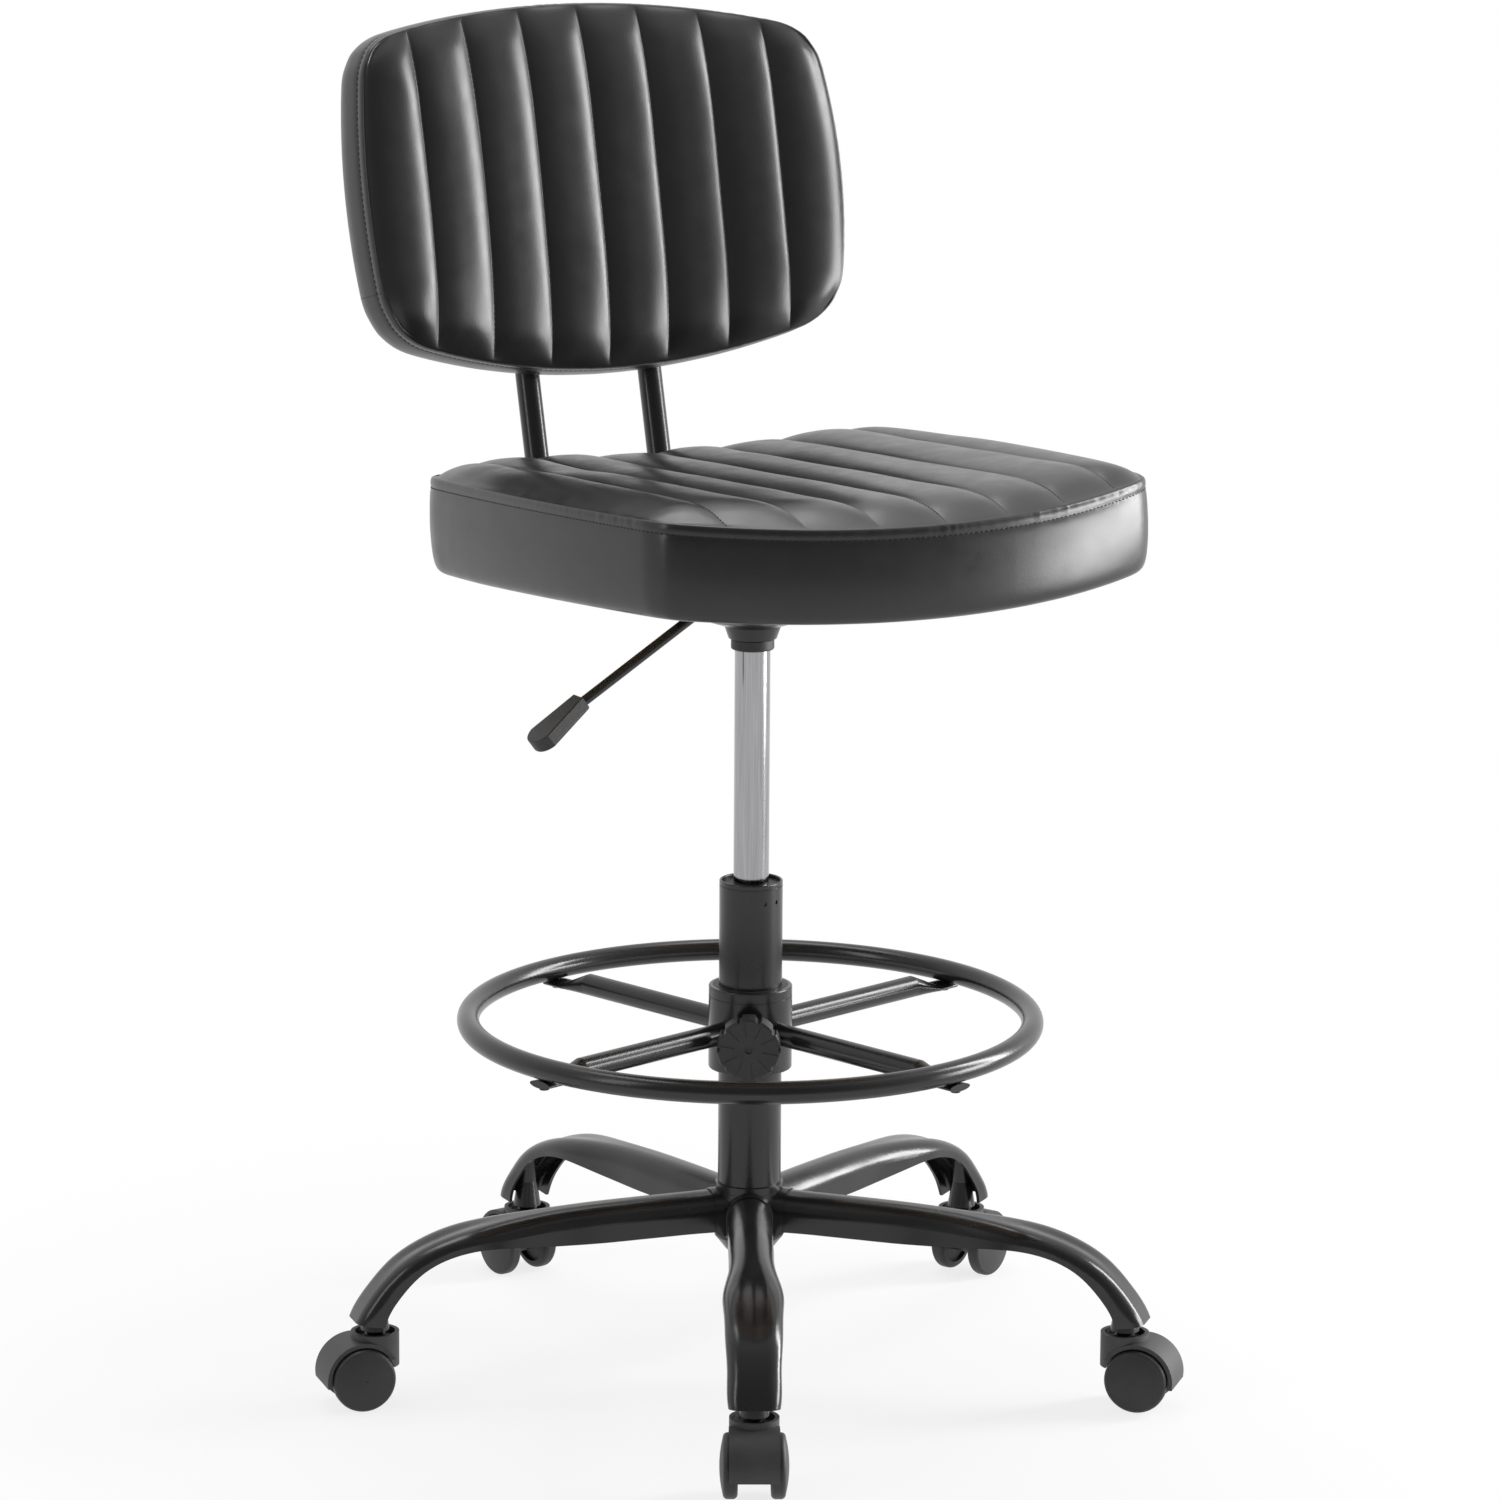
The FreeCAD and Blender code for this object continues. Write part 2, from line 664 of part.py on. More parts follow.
def make_dust_ring():
    body = ring(dust_ring_radius, cylinder_radius + FIT, dust_ring_bottom, dust_ring_top)
    return rounded(body, 1.5, lambda e: abs(e.BoundBox.ZMin - dust_ring_bottom) < 1e-6
                   and e.BoundBox.XLength > 2 * dust_ring_radius - 1)


def make_valve_button():
    return cylinder(button_radius, cylinder_top - button_sink, button_top)


# ---- foot ring -----------------------------------------------------------------------
def make_ring_bushes():
    inner = tube_radius + FIT
    outer = collar_radius - collar_wall - FIT
    low = ring(outer, inner, collar_bottom, collar_bottom + bush_height)
    high = moved(low, z=collar_height - bush_height)
    return Part.makeCompound([low, high])


def make_ring_collar():
    collar = ring(collar_radius, collar_radius - collar_wall, collar_bottom, collar_bottom + collar_height)
    collar = rounded(collar, collar_wall * 0.4, lambda e: e.BoundBox.XLength > 2 * collar_radius - 1e-3
                     and e.BoundBox.ZLength < 1e-6)
    line = collar_bottom + collar_height - collar_rim
    collar = collar.cut(ring(collar_radius + 1, collar_radius - tube_line_depth, line - tube_line_depth, line))
    boss = along_knob(knob_boss_radius, collar_radius - collar_wall, collar_radius + knob_boss_length)
    boss = boss.cut(cylinder(collar_radius - collar_wall / 2, 0, 2 * collar_bottom))
    collar = collar.fuse(spun(boss, heading(ring_heading))).removeSplitter()
    hole = along_knob(knob_screw_radius + SEAT_GAP, 0, collar_radius + knob_boss_length + 1)
    collar = collar.cut(spun(hole, heading(ring_heading)))
    for index in range(spoke_count):
        bar = Part.makeCylinder(spoke_radius + FIT, 2 * collar_radius, Vector(0, 0, spoke_height), X_AXIS)
        collar = collar.cut(spun(bar, spoke_angle(index)))
    return collar


def spoke_angle(index):
    return heading(spoke_heading + 360.0 / spoke_count * index)


def make_foot_ring():
    centre = Vector(0, 0, ring_height)
    ring_tube = Part.makeTorus(ring_radius, ring_tube_radius, centre)
    ring_tube = ring_tube.cut(Part.makeTorus(ring_radius, ring_tube_radius - ring_wall, centre))
    for index in range(spoke_count):
        hole = moved(cylinder(spoke_screw_radius + FIT, 0, ring_height), x=ring_radius)
        ring_tube = ring_tube.cut(spun(hole, spoke_angle(index)))
    return ring_tube


def make_ring_spokes():
    """Tubes whose outer ends are pressed flat under the ring."""
    tab_top = ring_height - ring_tube_radius
    middle = tab_top - spoke_flat / 2
    press_end = ring_radius - spoke_flat_length + spoke_press
    round_end = Vector(ring_radius - spoke_flat_length, 0, spoke_height)
    round_end = Part.Wire(Part.makeCircle(spoke_radius, round_end, X_AXIS))
    flat_end = flat_section(press_end, middle)
    press = loft([round_end, flat_end])
    tip = ring_radius + spoke_tip
    tab = Part.Face(flat_section(press_end, middle)).extrude(Vector(tip - press_end, 0, 0))
    hole = moved(cylinder(spoke_screw_radius + FIT, 0, ring_height), x=ring_radius)
    start = collar_radius - collar_wall + FIT
    bar = Part.makeCylinder(spoke_radius, ring_radius - spoke_flat_length - start,
                            Vector(start, 0, spoke_height), X_AXIS)
    bar = bar.cut(cylinder(collar_radius - collar_wall + FIT, 0, 2 * spoke_height))
    spoke = bar.fuse([press, tab]).removeSplitter().cut(hole)
    bore_end = ring_radius - spoke_flat_length - spoke_radius
    spoke = spoke.cut(Part.makeCylinder(spoke_radius - spoke_wall, bore_end, Vector(0, 0, spoke_height), X_AXIS))
    return Part.makeCompound([spun(spoke, spoke_angle(i)) for i in range(spoke_count)])


def flat_section(x, z):
    ellipse = Part.Ellipse(Vector(x, 0, z), spoke_flat_width / 2, spoke_flat / 2)
    ellipse.Axis = X_AXIS
    ellipse.XAxis = Y_AXIS
    return Part.Wire(ellipse.toShape())


def make_spoke_screws():
    tab_low = ring_height - ring_tube_radius - spoke_flat
    head = cylinder(spoke_screw_head_radius, tab_low - spoke_screw_head, tab_low)
    head_low = tab_low - spoke_screw_head
    head = rounded(head, spoke_screw_head * 0.6, lambda e: abs(e.BoundBox.ZMax - head_low) < 1e-6)
    shank = cylinder(spoke_screw_radius, tab_low, ring_height - ring_tube_radius + 2 * ring_wall)
    screw = moved(head.fuse(shank), x=ring_radius)
    return Part.makeCompound([spun(screw, spoke_angle(i)) for i in range(spoke_count)])


def along_knob(radius, x0, x1):
    bar = Part.makeCylinder(radius, x1 - x0, Vector(x0, 0, knob_height), X_AXIS)
    return bar


def make_lock_knob():
    back = knob_front - knob_thickness
    knob = along_knob(knob_radius, back, knob_front)
    knob = rounded(knob, knob_edge,
                   lambda e: e.BoundBox.XLength < 1e-6 and e.BoundBox.XMin > knob_front - 1e-3)
    for index in range(knob_grooves):
        angle = math.radians(360.0 / knob_grooves * index)
        centre = Vector(back - 1, math.cos(angle) * knob_radius,
                        knob_height + math.sin(angle) * knob_radius)
        knob = knob.cut(Part.makeCylinder(knob_groove_radius, knob_thickness + 2, centre, X_AXIS))
    line = box(knob_front - knob_line_depth, knob_front + 1, -knob_line_width / 2, knob_line_width / 2,
               knob_height + knob_line_start, knob_height + 2 * knob_radius)
    centre = Vector(0, 0, knob_height)
    lines = [spun(line, 360.0 / knob_grooves * (i + 0.25), centre, X_AXIS) for i in range(knob_grooves)]
    knob = knob.cut(lines)
    knob = knob.cut(along_knob(knob_dimple_radius, knob_front - knob_dimple_radius / 2, knob_front + 1))
    knob = knob.cut(along_knob(knob_screw_radius + FIT, back - 1, back + knob_screw_grip))
    return spun(knob, heading(ring_heading))


def make_knob_screw():
    back = knob_front - knob_thickness
    screw = along_knob(knob_screw_radius, tube_radius + SEAT_GAP, back + knob_screw_grip)
    return spun(screw, heading(ring_heading))


# ---- seat ----------------------------------------------------------------------------
def seat_outline(inset=0.0):
    return cushion_outline(seat_width, seat_depth, seat_front_arc, seat_side_arc, seat_back_arc,
                           seat_front_corner, seat_back_corner, inset)


def on_seat(shape):
    """Carry a shape from the seat's own frame (underside at Z=0) to its pitch and height."""
    tilted = spun(shape, -seat_pitch, axis=X_AXIS)
    lift = seat_underside + seat_centre_y * math.tan(math.radians(-seat_pitch))
    return moved(tilted, y=seat_centre_y, z=lift)


def curl_radius():
    half = seat_width / 2
    return (half * half + seat_side_rise ** 2) / (2 * seat_side_rise)


def curled_layer(z0, z1):
    """Layer between two heights that curls up towards the seat's sides."""
    radius = curl_radius()
    start = Vector(0, -seat_depth, radius)
    outer = Part.makeCylinder(radius - z0, 2 * seat_depth, start, Y_AXIS)
    inner = Part.makeCylinder(radius - z1, 2 * seat_depth, start, Y_AXIS)
    lower_half = box(-seat_width, seat_width, -seat_depth, seat_depth, -seat_band, 2 * seat_band)
    return outer.cut(inner).common(lower_half)


def outline_layer(face, z0, z1):
    solid = prism(face, -seat_band, 3 * seat_band)
    return solid.common(curled_layer(z0, z1))


def rim_edges(shape, upper):
    """Edges round the upper or the lower face of a layer."""
    faces = sorted((f for f in shape.Faces), key=lambda f: f.Area, reverse=True)[:2]
    faces.sort(key=lambda f: f.CenterOfMass.z)
    return (faces[1] if upper else faces[0]).Edges


def make_seat_cushion():
    pad = outline_layer(seat_outline(), 0.0, seat_band + seat_crown)
    pad = pad.makeFillet(seat_top_round, rim_edges(pad, True))
    pad = pad.makeFillet(seat_bottom_round, rim_edges(pad, False))
    recess = outline_layer(seat_outline(board_inset - FIT), -seat_bottom_round, board_thickness + FIT)
    return on_seat(pad.cut(recess))


def make_seat_board():
    board = outline_layer(seat_outline(board_inset), 0.0, board_thickness)
    for x, y in plate_screw_places():
        board = board.cut(moved(cylinder(seat_screw_radius + FIT, -1, seat_screw_bite + FIT), x=x, y=y))
    for x, y in post_bolt_places():
        board = board.cut(moved(cylinder(post_bolt_radius + FIT, -1, seat_screw_bite + FIT), x=x, y=y))
    return on_seat(board)


# ---- under-seat mechanism and lever ------------------------------------------------------
def plate_screw_places():
    """Screw places in the seat's frame."""
    reach = plate_size / 2 - seat_screw_inset
    return [(sx * reach, sy * reach - seat_centre_y) for sx in (-1, 1) for sy in (-1, 1)]


def post_bolt_places():
    near = post_front_y + post_foot_inset - seat_centre_y
    return [(sx * post_x, near + step * post_foot_pitch) for sx in (-1, 1) for step in (0, 1)]


def make_seat_mechanism():
    """Pressed pan with the cone socket for the gas column, under its screw plate."""
    plate = box(-plate_size / 2, plate_size / 2, -plate_size / 2, plate_size / 2, -plate_thickness, 0)
    plate = rounded(plate, plate_corner, lambda e: e.BoundBox.ZLength > plate_thickness - 1e-3
                    and e.BoundBox.XLength < 1e-6 and e.BoundBox.YLength < 1e-6)
    plate = moved(plate, y=-seat_centre_y)
    for x, y in plate_screw_places():
        plate = plate.cut(moved(cylinder(seat_screw_radius + FIT, -seat_band, seat_band), x=x, y=y))
    plate = on_seat(plate)
    under = on_seat(box(-seat_width, seat_width, -seat_depth, seat_depth, -3 * seat_band, -plate_thickness / 2))
    high = seat_underside + seat_band
    half_way = (pan_radius + cone_socket_upper_radius) / 2
    slope = (pan_radius - cone_socket_upper_radius) / 2

    def dish(wall):
        low = pan_bottom + wall
        return turned([(0, low), (cone_socket_upper_radius, low), (half_way, low + slope / 3),
                       (pan_radius - wall, low + slope), (pan_radius - wall, high), (0, high)])

    pan = dish(0).cut(dish(pan_wall)).common(under)
    socket = turned([(0, cone_socket_bottom), (cone_socket_lower_radius, cone_socket_bottom),
                     (cone_socket_upper_radius, pan_bottom), (cone_socket_upper_radius, pan_bottom + pan_wall),
                     (cone_socket_lower_radius, cylinder_top), (0, cylinder_top)])
    taper = turned([(0, dust_ring_top), (cylinder_radius + FIT, dust_ring_top),
                    (cylinder_radius + FIT - taper_drop, cylinder_top), (0, cylinder_top)])
    body = pan.fuse([socket, plate])
    for side in (-1, 1):
        ear = box(lever_pivot_x - ear_width / 2, lever_pivot_x + ear_width / 2,
                  side * ear_spread - ear_wall / 2, side * ear_spread + ear_wall / 2,
                  pivot_z - ear_width / 2, seat_underside)
        body = body.fuse(ear.common(under))
    body = body.removeSplitter().cut(taper).cut(lever_space())
    return body.cut(lever_pin_bar(FIT))


def make_seat_screws():
    screws = []
    for x, y in plate_screw_places():
        screw = bolt(seat_screw_radius, seat_screw_head_radius, seat_screw_head,
                     plate_thickness + seat_screw_bite)
        screws.append(on_seat(moved(screw, x=x, y=y, z=-plate_thickness)))
    return Part.makeCompound(screws)


def lever_pin_bar(extra=0.0):
    half = ear_spread + ear_wall
    return Part.makeCylinder(lever_pin_radius + extra, 2 * half, Vector(lever_pivot_x, -half, pivot_z), Y_AXIS)


def make_lever_pin():
    return lever_pin_bar()


def on_lever(shape, lift=0.0):
    """Carry a shape built along +X from the pivot to the lever's slope."""
    turned_over = spun(shape, 180, axis=Z_AXIS)
    sloped = spun(turned_over, lift - lever_drop, axis=Y_AXIS)
    return moved(sloped, x=lever_pivot_x, z=pivot_z)


def lever_space():
    """What the lever's rod passes through while it swings."""
    half = lever_radius + 2 * FREE
    steps = 3
    bars = [on_lever(box(0, 2 * pan_radius, -half, half, -half, half), lever_swing * i / steps)
            for i in range(steps + 1)]
    return bars[0].fuse(bars[1:])


def make_lever_rod():
    rod = on_lever(Part.makeCylinder(lever_radius, lever_length, Vector(0, 0, 0), X_AXIS))
    finger = Part.makeCylinder(lever_radius, lever_finger, Vector(lever_pivot_x, 0, pivot_z), X_AXIS)
    half = ear_spread - ear_wall / 2 - FREE
    knuckle = Part.makeCylinder(lever_knuckle_radius, 2 * half, Vector(lever_pivot_x, -half, pivot_z), Y_AXIS)
    return rod.fuse([finger, knuckle]).removeSplitter().cut(lever_pin_bar(FIT))


def make_lever_handle():
    """Flat paddle, wider towards a rounded end, with crisp upper edges."""
    root, half = handle_root_width / 2, handle_width / 2
    shoulder = handle_length - handle_tip
    corners = [Vector(0, -root, 0), Vector(shoulder, -half, 0), Vector(handle_length, 0, 0),
               Vector(shoulder, half, 0), Vector(0, root, 0)]
    outline = Part.Wire([Part.LineSegment(corners[0], corners[1]).toShape(),
                         Part.Arc(corners[1], corners[2], corners[3]).toShape(),
                         Part.LineSegment(corners[3], corners[4]).toShape(),
                         Part.LineSegment(corners[4], corners[0]).toShape()])
    paddle = moved(Part.Face(outline).extrude(Z_AXIS * handle_thickness), z=-handle_thickness / 2)
    paddle = rounded(paddle, handle_thickness * 0.25, lambda e: e.BoundBox.ZMax < 1e-6 - handle_thickness / 2)
    paddle = rounded(paddle, handle_thickness * 0.07, lambda e: e.BoundBox.ZMin > handle_thickness / 2 - 1e-6)
    paddle = spun(paddle, handle_tilt, Vector(handle_overlap / 2, 0, 0), Y_AXIS)
    paddle = moved(paddle, x=lever_length - handle_overlap)
    bore = Part.makeCylinder(lever_radius + FIT, lever_length + FIT, Vector(0, 0, 0), X_AXIS)
    return on_lever(paddle.cut(bore))


# ---- back posts -----------------------------------------------------------------------------
def back_direction():
    lean = math.radians(back_lean)
    return Vector(0, math.sin(lean), math.cos(lean))


def back_normal():
    """Away from the sitter, square to the posts."""
    lean = math.radians(back_lean)
    return Vector(0, math.cos(lean), -math.sin(lean))


def post_point(z):
    """Point of the right-hand post's axis at a height, in the plane of X = 0."""
    return Vector(0, post_line_y + (z - post_line_z) * math.tan(math.radians(back_lean)), z)


def post_foot_level():
    """Height of the tube's axis in the seat's frame."""
    radius = curl_radius()
    curl = radius - math.sqrt(radius * radius - post_x * post_x)
    return curl - post_radius - SEAT_GAP


def post_corners():
    """Start, corner and end of the tube's axis, in the plane of X = 0."""
    pitch = math.radians(seat_pitch)
    flat = Vector(0, math.cos(pitch), -math.sin(pitch))
    start = on_seat(Part.Vertex(0, post_front_y - seat_centre_y, post_foot_level())).Point
    up = back_direction()
    anchor = post_point(post_line_z)
    # the corner solves start + flat * a == anchor + up * b
    gap = anchor - start
    cross = flat.y * up.z - flat.z * up.y
    along = (gap.y * up.z - gap.z * up.y) / cross
    return start, start + flat * along, post_point(post_top)


def make_post(side):
    start, corner, end = post_corners()
    back, up = (start - corner).normalize(), (end - corner).normalize()
    half = back.getAngle(up) / 2
    reach = post_bend / math.tan(half)
    first, second = corner + back * reach, corner + up * reach
    centre = corner + (back + up).normalize() * (post_bend / math.sin(half))

    def wall_face(at, direction):
        disc = Part.Face(Part.Wire(Part.makeCircle(post_radius, at, direction)))
        return disc.cut(Part.Face(Part.Wire(Part.makeCircle(post_radius - post_wall, at, direction))))

    foot = wall_face(start, back).extrude(first - start)
    bend = wall_face(first, back).revolve(centre, X_AXIS, 180 - math.degrees(2 * half))
    riser = wall_face(second, up).extrude(end - second)
    tube = foot.fuse([bend, riser]).removeSplitter()
    tube = moved(tube, x=side * post_x)
    for bolt in foot_bolts(side, FIT) + back_bolts(side, FIT):
        tube = tube.cut(bolt)
    return tube


def foot_bolts(side, extra=0.0):
    """Bolts up through the tube into the seat board."""
    grip = 2 * post_radius + SEAT_GAP + post_bolt_bite
    low = post_foot_level() - post_radius
    shapes = []
    for x, y in post_bolt_places():
        if x * side > 0:
            body = cylinder(post_bolt_radius + extra, -1, grip + extra) if extra else bolt(
                post_bolt_radius, post_bolt_head_radius, post_bolt_head, grip)
            shapes.append(on_seat(moved(body, x=x, y=y, z=low)))
    return shapes


def back_bolts(side, extra=0.0):
    """Bolts forward through the tube into the back panel."""
    grip = 2 * post_radius + SEAT_GAP + post_bolt_bite
    shapes = []
    for step in (0, 1):
        axis_point = post_point(post_top - post_cap_plug - post_bolt_inset - step * post_bolt_pitch)
        seat = axis_point + back_normal() * post_radius
        body = cylinder(post_bolt_radius + extra, -1, grip + extra) if extra else bolt(
            post_bolt_radius, post_bolt_head_radius, post_bolt_head, grip)
        body = spun(body, 90 - back_lean, axis=X_AXIS)
        shapes.append(moved(body, x=side * post_x, y=seat.y, z=seat.z))
    return shapes


def make_post_bolts():
    return Part.makeCompound([b for side in (-1, 1) for b in foot_bolts(side) + back_bolts(side)])


def make_post_caps():
    """Plugs in the open upper ends of the tubes."""
    cap = cylinder(post_radius, 0, post_cap)
    cap = rounded(cap, post_cap * 0.6, lambda e: abs(e.BoundBox.ZMin - post_cap) < 1e-6)
    cap = cap.fuse(cylinder(post_radius - post_wall - FIT, -post_cap_plug, 0))
    cap = spun(cap, -back_lean, axis=X_AXIS)
    end = post_point(post_top)
    return Part.makeCompound([moved(cap, x=side * post_x, y=end.y, z=end.z) for side in (-1, 1)])


# ---- backrest --------------------------------------------------------------------------------
def on_back(shape):
    """Carry a shape from the backrest's frame (front seam at Y=0, lower edge at Z=0)."""
    rear = back_curve + back_thickness + SEAT_GAP + post_radius
    post_depth = math.sqrt(rear * rear - post_x * post_x) - back_curve
    lean = math.radians(back_lean)
    origin = post_point(back_bottom - post_depth * math.sin(lean)) - back_normal() * post_depth
    return moved(spun(shape, -back_lean, axis=X_AXIS), y=origin.y, z=origin.z)


def back_outline(inset=0.0):
    """Outline in XZ, with its lower edge at Z = 0."""
    face = cushion_outline(back_width, back_height, back_bottom_arc, back_side_arc, back_top_arc,
                           back_bottom_corner, back_top_corner, inset)
    return moved(spun(face, 90, axis=X_AXIS), z=back_height / 2)


def bent_layer(front, rear, crown):
    """Layer bent round the sitter between two depths, with a crowned front."""
    axis = Vector(0, -back_curve, 0)
    over = back_round * 4
    r0, r1 = back_curve + front, back_curve + rear
    low, high, mid = -over, back_height + over, back_height / 2
    bulge = crown * (1 + 2 * over / back_height) ** 2
    base = r0 - crown + bulge
    p = [Vector(0, r - back_curve, z) for r, z in ((base, low), (base, high), (r1, high), (r1, low))]
    if crown:
        front_edge = Part.Arc(p[0], Vector(0, base - bulge - back_curve, mid), p[1]).toShape()
    else:
        front_edge = Part.LineSegment(p[0], p[1]).toShape()
    rest = [Part.LineSegment(p[i], p[(i + 1) % 4]).toShape() for i in (1, 2, 3)]
    face = Part.Face(Part.Wire([front_edge] + rest))
    half_turn = math.degrees(math.asin(min(back_width / back_curve, 0.9)))
    return spun(face, -half_turn, axis, Z_AXIS).revolve(axis, Z_AXIS, 2 * half_turn)


def back_layer(front, rear, inset, crown=0.0):
    deep = back_thickness + back_width
    block = moved(back_outline(inset), y=-deep).extrude(Vector(0, 2 * deep, 0))
    return bent_layer(front, rear, crown).common(block)


def make_back_cushion():
    pad = back_layer(0.0, back_thickness, 0.0, back_crown)
    faces = sorted(pad.Faces, key=lambda f: f.Area, reverse=True)[:2]
    for face in sorted(faces, key=lambda f: f.CenterOfMass.y):
        pad = pad.makeFillet(back_round, matching_edges(pad, face))
    recess = back_layer(back_thickness - back_panel_thickness - FIT, back_thickness + back_round,
                        back_panel_inset - FIT)
    return on_back(pad.cut(recess))


def matching_edges(shape, face):
    """Edges of the face of a shape that lies nearest to the given face."""
    centre = face.CenterOfMass
    best = min(shape.Faces, key=lambda f: f.CenterOfMass.distanceToPoint(centre) - f.Area * 1e-6)
    return best.Edges


def make_back_panel():
    panel = back_layer(back_thickness - back_panel_thickness, back_thickness, back_panel_inset)
    panel = on_back(panel)
    for side in (-1, 1):
        for hole in back_bolts(side, FIT):
            panel = panel.cut(hole)
    return panel


# ---- everything ------------------------------------------------------------------------------
def all_parts():
    arm, boss = make_arm_and_boss()
    stem = moved(make_stem(), x=caster_circle)
    angles = [stem_place(i) for i in range(caster_count)]
    parts = {"base_hub": make_hub(), "arm_screws": make_arm_screws(),
             "stem_sockets": Part.makeCompound([spun(boss, a) for a in angles]),
             "caster_stems": Part.makeCompound([spun(stem, a) for a in angles])}
    hood, axle, left, right = make_hood(), make_axle(), make_wheel(-1), make_wheel(1)
    for index in range(caster_count):
        number = str(index + 1)
        parts["arm_" + number] = spun(arm, angles[index])
        parts["caster_hood_" + number] = at_caster(hood, index)
        parts["caster_axle_" + number] = at_caster(axle, index)
        parts["wheel_" + number + "_left"] = at_caster(left, index)
        parts["wheel_" + number + "_right"] = at_caster(right, index)
    parts.update({
        "outer_tube": make_outer_tube(), "guide_bush": make_guide_bush(),
        "piston_rod": make_piston_rod(), "thrust_bearing": make_thrust_bearing(),
        "rubber_buffer": make_rubber_buffer(), "rod_clip": make_rod_clip(),
        "gas_cylinder": make_gas_cylinder(), "dust_ring": make_dust_ring(),
        "valve_button": make_valve_button(),
        "ring_bushes": make_ring_bushes(), "ring_collar": make_ring_collar(),
        "foot_ring": make_foot_ring(), "ring_spokes": make_ring_spokes(),
        "spoke_screws": make_spoke_screws(), "lock_knob": make_lock_knob(), "knob_screw": make_knob_screw(),
        "seat_mechanism": make_seat_mechanism(), "seat_screws": make_seat_screws(),
        "seat_board": make_seat_board(), "seat_cushion": make_seat_cushion(),
        "lever_pin": make_lever_pin(), "lever_rod": make_lever_rod(), "lever_handle": make_lever_handle(),
        "post_left": make_post(1), "post_right": make_post(-1),
        "post_bolts": make_post_bolts(), "post_caps": make_post_caps(),
        "back_panel": make_back_panel(), "back_cushion": make_back_cushion()})
    return parts


def write_all(parts):
    os.makedirs("parts", exist_ok=True)
    for name, shape in parts.items():
        shape.exportStep("parts/" + name + ".step")


write_all(all_parts())
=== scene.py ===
"""Drafting chair: padded seat and back on a gas column with a foot ring and a five-arm caster base."""
import json
import math

import bmesh
import bpy
import numpy as np
from mathutils import Matrix, Vector, noise


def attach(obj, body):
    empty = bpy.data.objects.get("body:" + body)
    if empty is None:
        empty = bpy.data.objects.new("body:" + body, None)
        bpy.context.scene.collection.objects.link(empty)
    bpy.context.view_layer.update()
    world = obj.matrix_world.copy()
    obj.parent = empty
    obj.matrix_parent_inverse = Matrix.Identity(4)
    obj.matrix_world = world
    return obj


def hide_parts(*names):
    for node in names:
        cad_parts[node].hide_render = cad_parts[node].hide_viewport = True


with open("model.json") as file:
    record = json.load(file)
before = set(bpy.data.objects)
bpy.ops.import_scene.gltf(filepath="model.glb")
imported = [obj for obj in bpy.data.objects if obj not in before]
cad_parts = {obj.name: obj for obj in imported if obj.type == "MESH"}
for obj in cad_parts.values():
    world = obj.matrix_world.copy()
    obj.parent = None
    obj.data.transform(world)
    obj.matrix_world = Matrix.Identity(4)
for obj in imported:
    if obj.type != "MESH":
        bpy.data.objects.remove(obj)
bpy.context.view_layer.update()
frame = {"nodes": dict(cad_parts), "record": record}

MM = 0.001
nodes = frame["nodes"]
slot_of_node = {s["node"]: s["material_slot"] for s in frame["record"]["subparts"]}

# ---- seat cushion, millimetres in the seat's own frame (underside at Z = 0, front at -Y) ----
seat_centre_y = -53.0
seat_pitch = 3.55             # degrees, front edge up
seat_lift = 641.6             # the underside's middle above the floor
seat_outer = dict(width=456.0, depth=486.5, front=460.0, side=1355.0, back=1785.0,
                  front_corner=42.0, back_corner=85.0)
seat_seam_inset = 3.5
seat_band = 74.0              # the seam above the underside
seat_panel = dict(dome=13.5, reach=62.0, roundness=2.4, dip=2.6, lip=2.4)
seat_ribs = dict(rise=4.2, fade=22.0)
seat_rows = 49
seat_side_rise = 15.0         # the seat's sides above its middle
seat_belly = (1.3, -2.8)      # how far the band's lower edge hangs, at the back and at the front
belly_height = 40.0           # the hang fades out up to this level
belly_start, belly_run = 100.0, 341.0     # where its front share starts, and over what length it grows

# ---- back cushion, millimetres in the backrest's own frame (front seam at Y = 0, lower edge at Z = 0) ----
# Its outline lies upright: depth is its height, front its lower edge and back its top edge.
back_origin = (-3.4, 220.55, 773.7)
back_lean = 14.0              # degrees, top edge to the rear
back_tilt = 0.019             # radians, about the cushion's own middle
back_outer = dict(width=436.4, depth=300.0, front=650.0, side=560.0, back=720.0,
                  front_corner=57.0, back_corner=47.0)
back_seam_inset = 4.5
back_depth = 43.0             # from the front seam to the rear edge
back_crown = 12.0
back_panel = dict(dome=back_crown * 0.8, reach=95.0, roundness=2.2, dip=2.4, lip=2.6)
back_ribs = dict(rise=5.6, fade=10.0)
back_rows = 31
back_curve = 870.0            # radius about an upright axis
arch_share, arch_depth = 0.35, 20         # the crown's part that the seam follows, fading out behind it
side_seam_place = Vector((-0.21, 0, 0.072))     # metres
side_seam_rings = 10

# ---- both cushions ----
ribs = 8
rib_shares = (0.0, 0.08, 0.28, 0.5, 0.72, 0.92)     # where the grid's columns lie across one rib
rib_edges = (*rib_shares, 1.0)
cells_per_rib = len(rib_shares)
rib_roundness = 3.6
lip_width = 2.0
edge_row_share = 0.4          # the first row's share of the usual distance from the seam
cap_rise = 0.3                # the closing face's middle above its ring
topstitch_ring = 3            # the ring of the band that the topstitch follows
cover_levels = 2
cloth_frames = 20
cloth_reach = 0.004           # metres, the most that the cloth may swell

thread_sizes = {"rib": dict(pitch=0.0042, stitch_length=0.0030, thread_radius=0.0003),
                "top": dict(pitch=0.0046, stitch_length=0.0033, thread_radius=0.0006)}


# ---- small helpers -------------------------------------------------------------------------
def clamp(value):
    return min(max(value, 0.0), 1.0)


